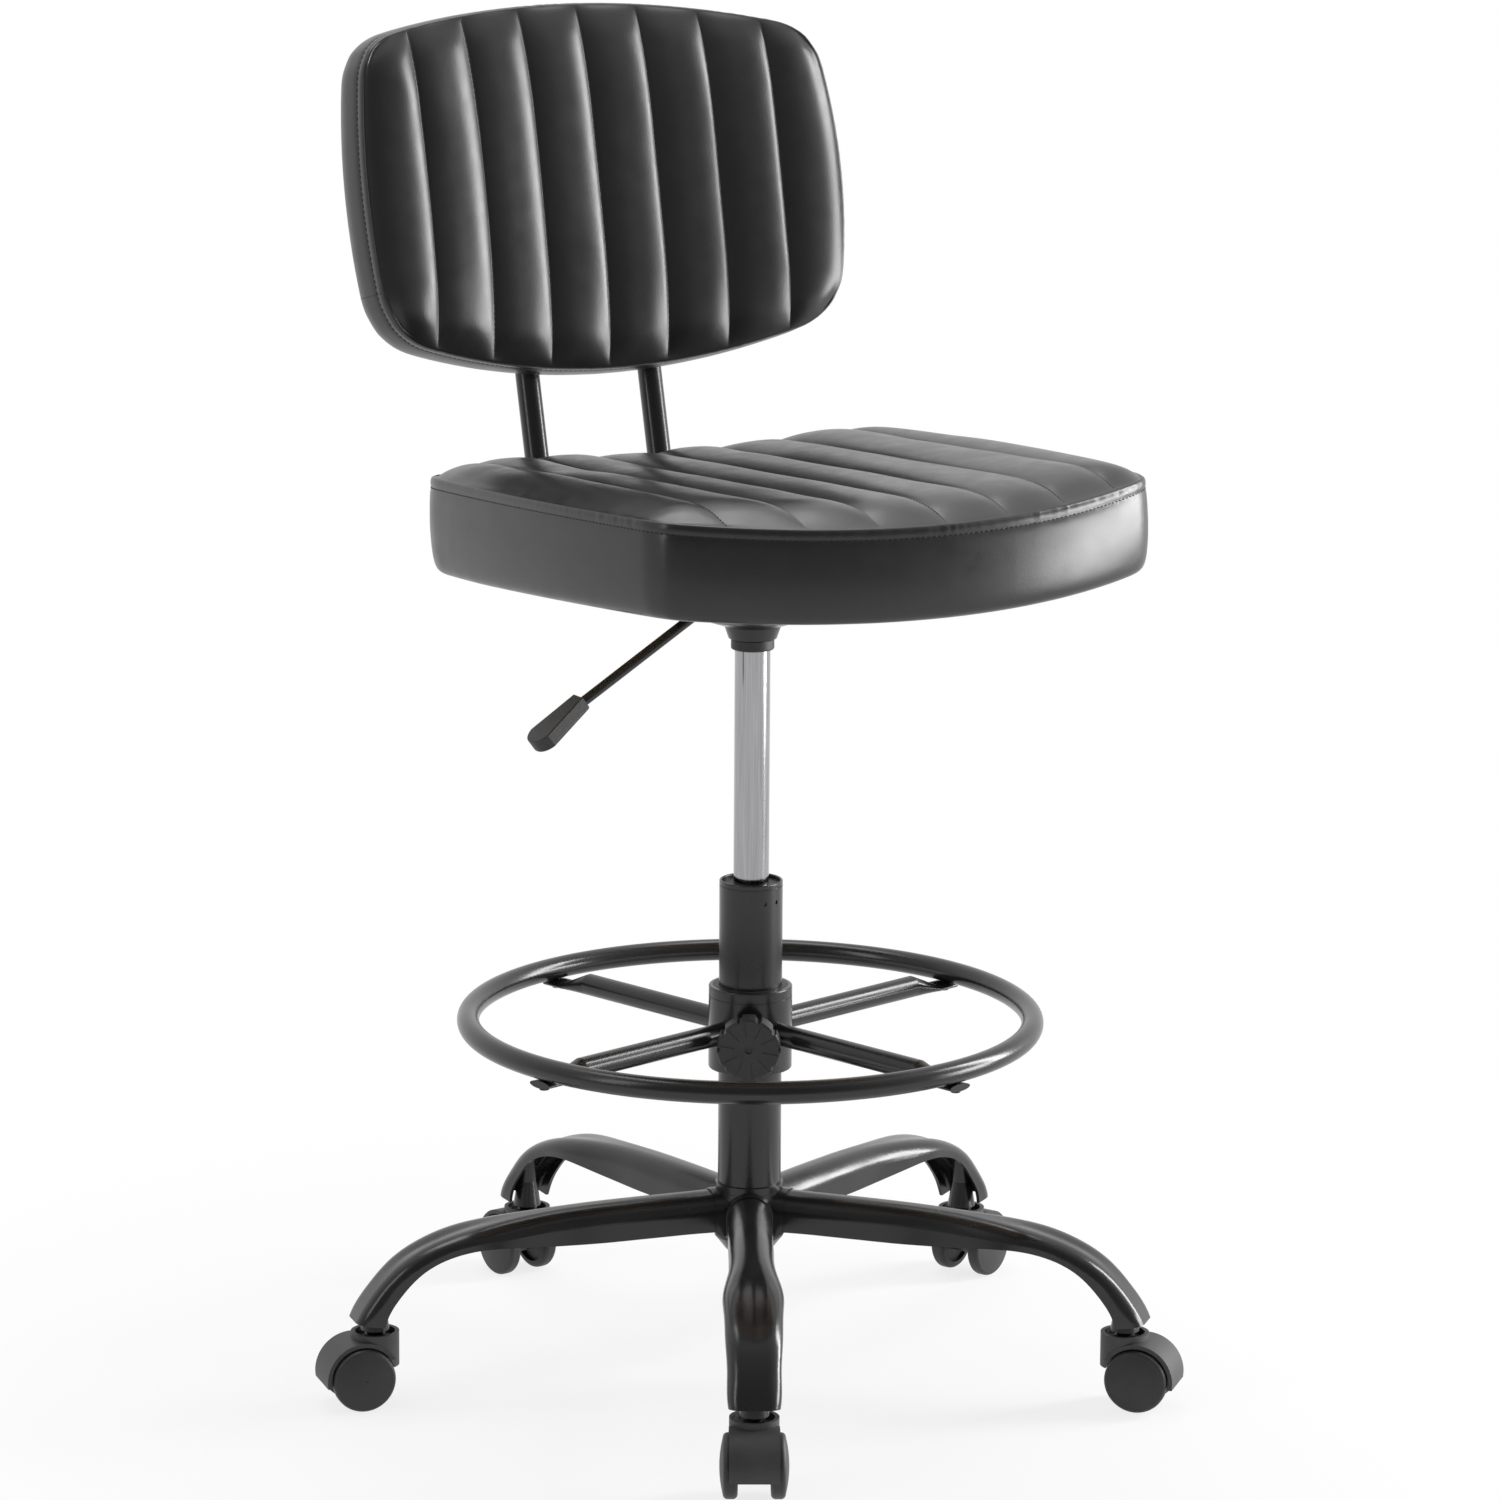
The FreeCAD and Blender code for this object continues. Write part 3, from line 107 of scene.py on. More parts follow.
def link(obj):
    bpy.context.scene.collection.objects.link(obj)
    return obj


def mesh_object(name, verts, faces, material=None, smooth=True):
    mesh = bpy.data.meshes.new(name)
    mesh.from_pydata([tuple(v) for v in verts], [], [tuple(f) for f in faces])
    mesh.update()
    if smooth:
        mesh.polygons.foreach_set("use_smooth", [True] * len(mesh.polygons))
    obj = link(bpy.data.objects.new(name, mesh))
    if material:
        mesh.materials.append(material)
    return obj


def coords(mesh):
    co = np.empty(len(mesh.vertices) * 3)
    mesh.vertices.foreach_get("co", co)
    return co.reshape(-1, 3)


def point_normals(mesh):
    normals = np.empty(len(mesh.vertices) * 3)
    mesh.vertices.foreach_get("normal", normals)
    return normals.reshape(-1, 3)


def set_coords(mesh, co):
    mesh.vertices.foreach_set("co", np.asarray(co, float).ravel())
    mesh.update()


def applied_mesh(obj):
    """The object's mesh with its modifiers applied; the object loses them."""
    bpy.context.view_layer.update()
    graph = bpy.context.evaluated_depsgraph_get()
    mesh = bpy.data.meshes.new_from_object(obj.evaluated_get(graph), preserve_all_data_layers=True,
                                           depsgraph=graph)
    obj.modifiers.clear()
    return mesh


# ---- materials -----------------------------------------------------------------------------
TEXTURE_RANGE = (0.3, 0.7)    # what a noise texture mostly gives


def blank_material(name):
    material = bpy.data.materials.new(name)
    material.use_nodes = True
    tree = material.node_tree
    return material, tree, tree.nodes["Principled BSDF"]


def add_node(tree, kind, **settings):
    """A node with its properties and, where it has no such property, its inputs set."""
    made = tree.nodes.new(kind)
    for key, value in settings.items():
        if hasattr(made, key):
            setattr(made, key, value)
        else:
            made.inputs[key].default_value = value
    return made


def wire(tree, source, output, target, socket):
    tree.links.new(source.outputs[output], target.inputs[socket])


def combine(tree, operation, first, second):
    """Math node on two values, each a node and its output."""
    made = add_node(tree, "ShaderNodeMath", operation=operation)
    wire(tree, *first, made, 0)
    wire(tree, *second, made, 1)
    return made


def pattern(tree, kind, scale, detail=2.0, stretch=None, **settings):
    """Texture in the object's own coordinates, which stretch scales first."""
    place = tree.nodes.get("Place") or add_node(tree, "ShaderNodeTexCoord", name="Place")
    made = add_node(tree, kind, Scale=scale, **settings)
    if "Detail" in made.inputs:
        made.inputs["Detail"].default_value = detail
    if stretch:
        turn = add_node(tree, "ShaderNodeMapping", Scale=stretch)
        wire(tree, place, "Object", turn, "Vector")
        wire(tree, turn, "Vector", made, "Vector")
    else:
        wire(tree, place, "Object", made, "Vector")
    return made


def map_range(tree, source, output, from_range, to_range, kind="LINEAR"):
    made = add_node(tree, "ShaderNodeMapRange", interpolation_type=kind)
    for socket, value in zip(("From Min", "From Max", "To Min", "To Max"), (*from_range, *to_range)):
        made.inputs[socket].default_value = value
    wire(tree, source, output, made, "Value")
    return made


def tone(tree, texture, dark, light, shader):
    """Base colour that wanders between dark and light."""
    ramp = add_node(tree, "ShaderNodeValToRGB")
    first, last = ramp.color_ramp.elements[0], ramp.color_ramp.elements[1]
    first.position, last.position = TEXTURE_RANGE
    first.color, last.color = (*dark, 1), (*light, 1)
    wire(tree, texture, 0, ramp, "Fac")
    wire(tree, ramp, "Color", shader, "Base Color")


def roughen(tree, texture, low, high, shader):
    """Roughness that wanders between low and high."""
    wire(tree, map_range(tree, texture, 0, TEXTURE_RANGE, (low, high)), "Result", shader, "Roughness")


def bump(tree, shader, *layers):
    """Chain of bumps: (texture, strength, height in metres)."""
    last = None
    for texture, strength, height in layers:
        made = add_node(tree, "ShaderNodeBump", Strength=strength, Distance=height)
        wire(tree, texture, 0, made, "Height")
        if last:
            wire(tree, last, "Normal", made, "Normal")
        last = made
    wire(tree, last, "Normal", shader, "Normal")


def synthetic_leather():
    material, tree, shader = blank_material("synthetic_leather")
    cloudy = pattern(tree, "ShaderNodeTexNoise", 9.0, 4.0)
    pebble = pattern(tree, "ShaderNodeTexVoronoi", 1250.0, feature="SMOOTH_F1")
    crease = pattern(tree, "ShaderNodeTexVoronoi", 520.0, feature="DISTANCE_TO_EDGE")
    soft = pattern(tree, "ShaderNodeTexNoise", 60.0, 3.0)
    tone(tree, cloudy, (0.0125, 0.0125, 0.0132), (0.019, 0.019, 0.020), shader)
    roughen(tree, soft, 0.28, 0.34, shader)
    bump(tree, shader, (soft, 0.03, 0.001), (pebble, 0.14, 0.0003), (crease, 0.05, 0.0004))
    return material


def gloss_paint():
    material, tree, shader = blank_material("gloss_black_paint")
    cloudy = pattern(tree, "ShaderNodeTexNoise", 14.0, 3.0)
    peel = pattern(tree, "ShaderNodeTexNoise", 420.0, 2.0)
    tone(tree, cloudy, (0.010, 0.010, 0.0105), (0.015, 0.015, 0.0155), shader)
    roughen(tree, cloudy, 0.20, 0.28, shader)
    bump(tree, shader, (peel, 0.06, 0.0004))
    return material


def moulded_plastic(name, dark, light, low, high, grain=0.2, scale=1500.0):
    material, tree, shader = blank_material(name)
    cloudy = pattern(tree, "ShaderNodeTexNoise", 30.0, 3.0)
    spark = pattern(tree, "ShaderNodeTexNoise", scale, 3.0)
    tone(tree, cloudy, dark, light, shader)
    roughen(tree, spark, low, high, shader)
    bump(tree, shader, (spark, grain, 0.0003))
    return material


def drawn_metal(name, dark, light, low, high):
    """Metal with fine marks drawn out along Z."""
    material, tree, shader = blank_material(name)
    marks = pattern(tree, "ShaderNodeTexNoise", 900.0, 4.0, stretch=(1.0, 1.0, 0.02))
    tone(tree, marks, dark, light, shader)
    roughen(tree, marks, low, high, shader)
    shader.inputs["Metallic"].default_value = 1.0
    bump(tree, shader, (marks, 0.03, 0.0002))
    return material


def plywood():
    """Bare wood with its grain along Y."""
    material, tree, shader = blank_material("raw_plywood")
    grain = pattern(tree, "ShaderNodeTexNoise", 160.0, 6.0, stretch=(1.0, 0.08, 1.0))
    tone(tree, grain, (0.36, 0.24, 0.13), (0.55, 0.41, 0.26), shader)
    shader.inputs["Roughness"].default_value = 0.75
    bump(tree, shader, (grain, 0.25, 0.0006))
    return material


# Darkest and lightest colour, then lowest and highest roughness.
finishes = {
    "black_leather": synthetic_leather(),
    "black_paint": gloss_paint(),
    "black_steel": drawn_metal("black_zinc", (0.02, 0.02, 0.022), (0.05, 0.05, 0.055), 0.30, 0.45),
    "bright_steel": drawn_metal("bright_steel", (0.42, 0.42, 0.43), (0.60, 0.60, 0.61), 0.22, 0.38),
    "chrome": drawn_metal("satin_chrome", (0.30, 0.30, 0.31), (0.40, 0.40, 0.41), 0.12, 0.18),
    "black_plastic": moulded_plastic("black_plastic", (0.016, 0.016, 0.017), (0.024, 0.024, 0.025),
                                     0.42, 0.56),
    "hood_plastic": moulded_plastic("hood_plastic", (0.036, 0.036, 0.038), (0.048, 0.048, 0.050),
                                    0.46, 0.60),
    "wheel_plastic": moulded_plastic("wheel_plastic", (0.018, 0.018, 0.019), (0.026, 0.026, 0.027),
                                     0.44, 0.56),
    "buffer_rubber": moulded_plastic("buffer_rubber", (0.02, 0.02, 0.02), (0.03, 0.03, 0.03), 0.7, 0.85),
    "plywood": plywood(),
}
thread = moulded_plastic("waxed_thread", (0.006, 0.006, 0.006), (0.010, 0.010, 0.010), 0.6, 0.75,
                         grain=0.4, scale=2500.0)

for name, obj in nodes.items():
    obj.data.materials.clear()
    obj.data.materials.append(finishes[slot_of_node[name]])


# ---- cushions ------------------------------------------------------------------------------
def circles_meet(c1, r1, c2, r2, near):
    """The point at r1 from c1 and at r2 from c2, on the side that lies closer to near."""
    line = c2 - c1
    gap = np.hypot(*line)
    along = (r1 * r1 - r2 * r2 + gap * gap) / (2 * gap)
    across = math.sqrt(max(r1 * r1 - along * along, 0.0))
    unit = line / gap
    side = np.array([-unit[1], unit[0]]) * across
    foot = c1 + unit * along
    return min((foot + side, foot - side), key=lambda p: np.hypot(*(p - near)))


def half_outline(width, depth, front, side, back, front_corner, back_corner, inset):
    """Right half of the outline, from the front's middle to the back's, as five arcs that run into each
    other. Returns its points and the index of each corner's middle."""
    half_w, half_d = width / 2 - inset, depth / 2 - inset
    front, side, back = front - inset, side - inset, back - inset
    front_corner, back_corner = front_corner - inset, back_corner - inset
    front_c, back_c = np.array([0.0, -half_d + front]), np.array([0.0, half_d - back])
    side_c = np.array([half_w - side, 0.0])
    low = circles_meet(front_c, front - front_corner, side_c, side - front_corner,
                       np.array([half_w, -half_d]))
    high = circles_meet(side_c, side - back_corner, back_c, back - back_corner,
                        np.array([half_w, half_d]))

    def heading(vector):
        return math.atan2(vector[1], vector[0])

    turns = (-math.pi / 2, heading(low - front_c), heading(low - side_c),
             heading(high - side_c), heading(high - back_c), math.pi / 2)
    counts = (200, 200, 400, 200, 200)
    arcs = []
    for number, (centre, radius) in enumerate(((front_c, front), (low, front_corner), (side_c, side),
                                               (high, back_corner), (back_c, back))):
        t = np.linspace(turns[number], turns[number + 1], counts[number])
        arcs.append(centre + radius * np.stack([np.cos(t), np.sin(t)], 1))
    half = np.concatenate([*(arc[:-1] for arc in arcs[:-1]), arcs[-1]])
    before = [sum(counts[:number]) - number for number in range(len(counts))]
    return half, before[1] + counts[1] // 2, before[3] + counts[3] // 2


def at_shares(points, shares):
    """Points of a polyline at the given shares of its length."""
    gaps = np.r_[0, np.cumsum(np.hypot(*np.diff(points, axis=0).T))]
    t = np.asarray(shares) * gaps[-1]
    return np.stack([np.interp(t, gaps, points[:, k]) for k in (0, 1)], 1)


def at_x(line, x):
    return np.array([x, np.interp(x, line[:, 0], line[:, 1])])


def beyond_x(line, x):
    """The part of the line past x, with a point at x to start with."""
    return np.concatenate([[at_x(line, x)], line[line[:, 0] > x + 1e-6]])


def side_columns(straight, front_run, back_run, side, share):
    """Columns from the last straight seam out to the side: a patch spanned by its four edges."""
    front_run, back_run = at_shares(front_run, rib_edges), at_shares(back_run, rib_edges)
    outer = at_shares(side, share)
    v = share[:, None]
    columns = []
    for index, u in enumerate(rib_edges[1:], 1):
        ruled = straight * (1 - u) + outer * u
        ends = front_run[index] * (1 - v) + back_run[index] * v
        flat = ruled[0] * (1 - v) + ruled[-1] * v
        columns.append(ruled + ends - flat)
    return columns


def panel_grid(outline, inset, rows):
    """Grid of points inside the seam, with columns along the ribs, as (columns, rows, 2), and the seam's
    right half."""
    half, low_mid, high_mid = half_outline(inset=inset, **outline)
    pitch = 2 * half[:, 0].max() / ribs
    front, side, back = half[:low_mid + 1], half[low_mid:high_mid + 1], half[high_mid:][::-1]
    share = np.linspace(0, 1, rows)
    share[1] *= edge_row_share
    share[-2] = 1 - share[1]
    columns = []
    for index in range((ribs // 2 - 1) * cells_per_rib + 1):
        x = (index // cells_per_rib + rib_shares[index % cells_per_rib]) * pitch
        a, b = at_x(front, x), at_x(back, x)
        columns.append(a + (b - a) * share[:, None])
    edge_x = columns[-1][0, 0]
    columns += side_columns(columns[-1], beyond_x(front, edge_x), beyond_x(back, edge_x), side, share)
    right = np.array(columns)
    left = right[1:][::-1].copy()
    left[..., 0] *= -1
    return np.concatenate([left, right]), half


def distance_to(half, points, chunk=500):
    """Distance from each point to the seam, a chunk of the points at a time."""
    loop = np.concatenate([half, half * [-1, 1]])
    flat = points.reshape(-1, 2)
    out = np.empty(len(flat))
    for start in range(0, len(flat), chunk):
        part = flat[start:start + chunk]
        out[start:start + chunk] = np.sqrt(((part[:, None] - loop[None]) ** 2).sum(2).min(1))
    return out.reshape(points.shape[:-1])


def rim_order(columns, rows):
    """Grid indices round the rim, from the middle of the back, counter-clockwise seen from above the seat
    or from before the back."""
    middle = columns // 2
    order = [(i, rows - 1) for i in range(middle, 0, -1)]
    order += [(0, j) for j in range(rows - 1, 0, -1)]
    order += [(i, 0) for i in range(0, columns - 1)]
    order += [(columns - 1, j) for j in range(0, rows - 1)]
    order += [(i, rows - 1) for i in range(columns - 1, middle, -1)]
    return order


def outward(loop):
    """Unit normals of a closed loop, pointing out of it."""
    tangent = np.roll(loop, -1, 0) - np.roll(loop, 1, 0)
    tangent /= np.hypot(*tangent.T)[:, None]
    normal = np.stack([tangent[:, 1], -tangent[:, 0]], 1)
    if ((loop * normal).sum(1) < 0).mean() > 0.5:
        normal = -normal
    return normal


class Cover:
    """Points and faces of one cushion's cover. Each point has its ring (-1 inside the panel, 0 at the seam),
    its place along the rim and how firmly it is sewn down."""

    def __init__(self, lay):
        self.lay = lay
        self.verts, self.faces = [], []
        self.ring, self.around, self.pins = [], [], []

    def point(self, x, y, z, ring, around, pin):
        self.verts.append(self.lay(x, y, z))
        self.ring.append(float(ring))
        self.around.append(around)
        self.pins.append(pin)
        return len(self.verts) - 1

    def panel(self, grid, level, seam_columns):
        columns, rows = level.shape
        index = {}
        for i in range(columns):
            for j in range(rows):
                edge = i in (0, columns - 1) or j in (0, rows - 1)
                pin = 1.0 if edge or i in seam_columns else 0.0
                index[i, j] = self.point(*grid[i, j], level[i, j], 0 if edge else -1, 0.0, pin)
        for i in range(columns - 1):
            for j in range(rows - 1):
                self.faces.append((index[i, j], index[i + 1, j], index[i + 1, j + 1], index[i, j + 1]))
        return index

    def band(self, rim, loop, profile):
        """Rings from the seam round to the underside, one for each row of the profile."""
        normal = outward(loop)
        length = np.r_[0, np.cumsum(np.hypot(*np.diff(loop, axis=0).T))]
        for k, n in enumerate(rim):
            self.around[n] = length[k]
        rings = [rim]
        for number, (step, z, _, pin) in enumerate(profile[1:], 1):
            last = rings[-1]
            here = [self.point(*(loop[k] + normal[k] * step), z, number, length[k], pin)
                    for k in range(len(rim))]
            for k in range(len(here)):
                after = (k + 1) % len(here)
                self.faces.append((last[k], here[k], here[after], last[after]))
            rings.append(here)
        return rings

    def close(self, last, z, ring):
        centre = self.point(0.0, 0.0, z, ring, 0.0, 1.0)
        for k in range(len(last)):
            self.faces.append((last[k], centre, last[(k + 1) % len(last)]))


def crease_edges(mesh, crease_of):
    """Turn the faces outwards and give the edges their creases for the subdivision."""
    bm = bmesh.new()
    bm.from_mesh(mesh)
    bmesh.ops.recalc_face_normals(bm, faces=bm.faces)
    crease = bm.edges.layers.float.new("crease_edge")
    for edge in bm.edges:
        edge[crease] = crease_of.get(frozenset(v.index for v in edge.verts), 0.0)
    bm.to_mesh(mesh)
    bm.free()


def panel_rise(gap, dome, reach, roundness, dip, lip):
    """Rise at a distance from the seam: a dip at the seam, a lip just inside it, then the dome."""
    rise = dome * (1 - (1 - np.minimum(gap / reach, 1)) ** roundness)
    return rise - dip + lip * (1 - np.exp(-gap / lip_width))


def build_cushion(name, outline, inset, rows, panel, rib, profile, lay):
    """Closed cushion: ribbed panel, seam, band and underside. lay(x, y, level) puts a point in place.
    Returns the object and its sewn lines' points."""
    grid, half = panel_grid(outline, inset, rows)
    columns = len(grid)
    gap = distance_to(half, grid)
    seam_columns = [k * cells_per_rib for k in range(1, ribs)]
    across = np.array([rib_shares[k % cells_per_rib] for k in range(columns)])
    swell = 1 - np.abs(2 * across - 1) ** rib_roundness
    level = panel_rise(gap, **panel) + rib["rise"] * swell[:, None] * (1 - np.exp(-gap / rib["fade"]))
    level[0, :] = level[-1, :] = 0
    level[:, 0] = level[:, -1] = 0
    cover = Cover(lay)
    index = cover.panel(grid, profile[0][1] + level, seam_columns)
    rim = rim_order(columns, rows)
    rings = cover.band([index[at] for at in rim], np.array([grid[at] for at in rim]), profile)
    cover.close(rings[-1], profile[-1][1] + cap_rise, len(profile))
    crease_of = {}
    for ids, (_, _, crease, _) in zip(rings, profile):
        for k, n in enumerate(ids):
            crease_of[frozenset((n, ids[(k + 1) % len(ids)]))] = crease
    seams = [[index[i, j] for j in range(rows)] for i in seam_columns]
    for ids in seams:
        for pair in zip(ids, ids[1:]):
            crease_of[frozenset(pair)] = 1.0
    obj = mesh_object(name, cover.verts, cover.faces, finishes["black_leather"])
    crease_edges(obj.data, crease_of)
    for label, values in (("ring", cover.ring), ("around", cover.around)):
        obj.data.attributes.new(label, "FLOAT", "POINT").data.foreach_set("value", values)
    group = obj.vertex_groups.new(name="sewn")
    for n, weight in enumerate(cover.pins):
        if weight:
            group.add([n], weight, "REPLACE")
    return obj, {"seams": seams, "rings": rings}


def let_cloth_swell(obj, pressure):
    """The cover's points after its cloth has swelled between the sewn lines."""
    cloth = obj.modifiers.new("cover", "CLOTH")
    s = cloth.settings
    s.quality = 6
    s.mass = 0.25
    s.air_damping = 2.0
    s.tension_stiffness = s.compression_stiffness = 30
    s.shear_stiffness = 15
    s.bending_stiffness = 2.0
    s.vertex_group_mass = "sewn"
    s.use_pressure = True
    s.uniform_pressure_force = pressure
    s.effector_weights.gravity = 0
    cloth.collision_settings.use_collision = False
    cloth.point_cache.frame_start, cloth.point_cache.frame_end = 1, cloth_frames
    scene = bpy.context.scene
    for number in range(1, cloth_frames + 1):
        scene.frame_set(number)
    graph = bpy.context.evaluated_depsgraph_get()
    moved = coords(obj.evaluated_get(graph).to_mesh())
    scene.frame_set(1)
    obj.modifiers.clear()
    return moved


def inflate(obj, pressure, passes):
    """Swell the cover between its sewn lines as cloth, calm the shift in passes, and keep it in the mesh."""
    own_share, near_share = 0.4, 0.6
    before = coords(obj.data)
    shift = let_cloth_swell(obj, pressure) - before
    ends = np.empty(len(obj.data.edges) * 2, dtype=np.int32)
    obj.data.edges.foreach_get("vertices", ends)
    ends = ends.reshape(-1, 2)
    meets = np.bincount(ends.ravel(), minlength=len(shift))[:, None]
    still = np.linalg.norm(shift, axis=1) < 1e-7
    for _ in range(passes):
        near = np.zeros_like(shift)
        np.add.at(near, ends[:, 0], shift[ends[:, 1]])
        np.add.at(near, ends[:, 1], shift[ends[:, 0]])
        shift = np.where(still[:, None], 0.0, own_share * shift + near_share * near / meets)
    size = np.linalg.norm(shift, axis=1)
    shift *= (np.minimum(size, cloth_reach) / np.maximum(size, 1e-9))[:, None]
    set_coords(obj.data, before + shift)


def smooth_out(obj, levels):
    mod = obj.modifiers.new("cover", "SUBSURF")
    mod.levels = mod.render_levels = levels
    mod.boundary_smooth = "ALL"
    obj.data = applied_mesh(obj)


def attribute(mesh, label):
    values = np.empty(len(mesh.vertices))
    mesh.attributes[label].data.foreach_get("value", values)
    return values


def pucker(obj, height, wave, seed, strength):
    """Small gathers across the strip between seam and topstitch, in patches, fading out one ring below it.
    strength(point) says how strong they are there."""
    mesh = obj.data
    co, normals = coords(mesh), point_normals(mesh)
    ring, around = attribute(mesh, "ring"), attribute(mesh, "around")
    half, end = topstitch_ring / 2, topstitch_ring + 1.0
    patch_length, fade_out, fine_share = 60.0, 0.4, 0.6
    for n in np.where((ring > 0.05) & (ring < end))[0]:
        reach = 1.0 - abs(ring[n] - half) / half if ring[n] < topstitch_ring else fade_out * (end - ring[n])
        s = around[n]
        depth = noise.noise((s / wave, seed, 0)) + fine_share * noise.noise((s / (wave * 0.5), seed + 5, 0))
        patch = max(0.0, 0.5 + noise.noise((s / patch_length, seed + 9, 0)))
        co[n] += normals[n] * (height * max(reach, 0.0) * depth * patch * strength(co[n]) * MM)
    set_coords(mesh, co)


def sag(obj, height, wave, seed, strength):
    """Broad soft unevenness of the panel, along its normals. strength(point) says how strong it is there."""
    mesh = obj.data
    co, ring, normals = coords(mesh), attribute(mesh, "ring"), point_normals(mesh)
    for n in np.where(ring < 0)[0]:
        depth = noise.noise(Vector(co[n]) / (wave * MM) + Vector((seed, 0, 0))) * min(-ring[n], 1.0)
        co[n] += normals[n] * (height * depth * strength(co[n]) * MM)
    set_coords(mesh, co)


def remove_attributes(obj):
    for label in ("ring", "around"):
        obj.data.attributes.remove(obj.data.attributes[label])
    obj.vertex_groups.clear()


seat_turn = (Matrix.Translation((0, seat_centre_y * MM, seat_lift * MM))
             @ Matrix.Rotation(math.radians(-seat_pitch), 4, "X"))
back_middle = Matrix.Translation((0, 0, back_outer["depth"] / 2 * MM))
back_turn = (Matrix.Translation(Vector(back_origin) * MM) @ Matrix.Rotation(math.radians(-back_lean), 4, "X")
             @ back_middle @ Matrix.Rotation(back_tilt, 4, "Y") @ back_middle.inverted())
seat_curl = ((seat_outer["width"] / 2) ** 2 + seat_side_rise ** 2) / (2 * seat_side_rise)


def lay_seat(x, y, z):
    """z counts up from the underside, which curls up towards the sides."""
    forward = clamp((belly_start - y) / belly_run)
    z -= (seat_belly[0] + (seat_belly[1] - seat_belly[0]) * forward) * clamp(1.0 - z / belly_height)
    return seat_turn @ (Vector((x, y, seat_curl - math.sqrt((seat_curl - z) ** 2 - x * x))) * MM)


def lay_back(x, y, z):
    """z counts forward from the front seam towards the sitter (negative towards the rear)."""
    half_h = back_outer["depth"] / 2
    arched = back_crown * arch_share * max(0.0, 1 - (y / half_h) ** 2) * clamp((z + arch_depth) / arch_depth)
    r = back_curve - z - arched
    return back_turn @ (Vector((x, math.sqrt(r * r - x * x) - back_curve, y + half_h)) * MM)


# One row for each ring of the band: step outward from the seam, level, crease, how firmly it is sewn.
seat_profile = [
    (0.0, seat_band, 1.0, 1.0), (1.8, 73.3, 0.0, 1.0), (2.9, 69.6, 0.0, 1.0), (2.2, 65.4, 1.0, 1.0),
    (3.2, 62.4, 0.0, 0.6), (3.8, 52.0, 0.0, 0.0), (4.2, 39.0, 0.0, 0.0), (4.0, 28.0, 0.0, 0.0),
    (3.2, 17.0, 0.0, 0.0), (1.8, 8.0, 0.0, 0.6), (-0.6, 2.6, 0.0, 1.0), (-5.0, 0.2, 0.0, 1.0),
    (-11.0, -0.2, 0.0, 1.0), (-15.6, 0.0, 0.7, 1.0), (-15.9, 3.0, 0.0, 1.0), (-16.0, 12.6, 1.0, 1.0)]
back_profile = [
    (0.0, 0.0, 1.0, 1.0), (1.7, -0.7, 0.0, 1.0), (2.8, -4.4, 0.0, 1.0), (2.1, -8.6, 1.0, 1.0),
    (3.3, -11.6, 0.0, 0.6), (4.0, -19.0, 0.0, 0.0), (4.2, -25.0, 0.0, 0.0), (3.6, -31.0, 0.0, 0.0),
    (2.0, -37.0, 0.0, 0.6), (-1.0, -41.0, 0.0, 1.0), (-5.5, -42.8, 0.0, 1.0),
    (-9.8, -back_depth, 0.7, 1.0), (-10.0, -40.0, 0.0, 1.0), (-10.1, -33.2, 1.0, 1.0)]


def side_seam(pad, rings):
    """Points down the band, from the seam's point nearest to the side seam's place."""
    to_back = back_turn.inverted()
    start = min(range(len(rings[0])), key=lambda k: (
        (to_back @ pad.data.vertices[rings[0][k]].co - side_seam_place).length))
    return [ring[start] for ring in rings[:side_seam_rings]]


seat_pad, seat_lines = build_cushion("seat_pad", seat_outer, seat_seam_inset, seat_rows, seat_panel,
                                     seat_ribs, seat_profile, lay_seat)
back_pad, back_lines = build_cushion("back_pad", back_outer, back_seam_inset, back_rows, back_panel,
                                     back_ribs, back_profile, lay_back)
side_seam_ids = side_seam(back_pad, back_lines["rings"])
inflate(seat_pad, pressure=4.0, passes=5)
inflate(back_pad, pressure=4.0, passes=4)


# ---- stitches ------------------------------------------------------------------------------
def line_through(obj, ids, cyclic, name):
    """Smooth curve that follows the subdivided cover along a chain of its points."""
    data = bpy.data.curves.new(name, "CURVE")
    data.dimensions = "3D"
    spline = data.splines.new("NURBS")
    spline.points.add(len(ids) - 1)
    for point, n in zip(spline.points, ids):
        point.co = (*obj.data.vertices[n].co, 1)
    spline.order_u = 4
    spline.use_cyclic_u = cyclic
    spline.use_endpoint_u = not cyclic
    data.resolution_u = 6
    return link(bpy.data.objects.new(name, data))


paths = []
for label, pad, lines in (("seat", seat_pad, seat_lines), ("back", back_pad, back_lines)):
    for number, ids in enumerate(lines["seams"]):
        paths.append((label, "rib", line_through(pad, ids[1:-1], False, "%s_rib_line_%d" % (label, number))))
    topstitch = lines["rings"][topstitch_ring]
    paths.append((label, "top", line_through(pad, topstitch, True, label + "_topstitch_line")))
paths.append(("back", "rib", line_through(back_pad, side_seam_ids, False, "back_side_seam_line")))

smooth_out(seat_pad, cover_levels)
smooth_out(back_pad, cover_levels)
pucker(seat_pad, 1.2, 6.0, 1.0, lambda p: 0.15 + 0.85 * clamp(-p[1] / 0.2 - 0.2))
pucker(back_pad, 0.8, 7.0, 3.0, lambda p: 0.6)
sag(seat_pad, 3.0, 75.0, 2.0, lambda p: 0.25 + clamp(p[1] / 0.2 - p[0] / 0.3))
sag(back_pad, 1.2, 110.0, 6.0, lambda p: 1.0)


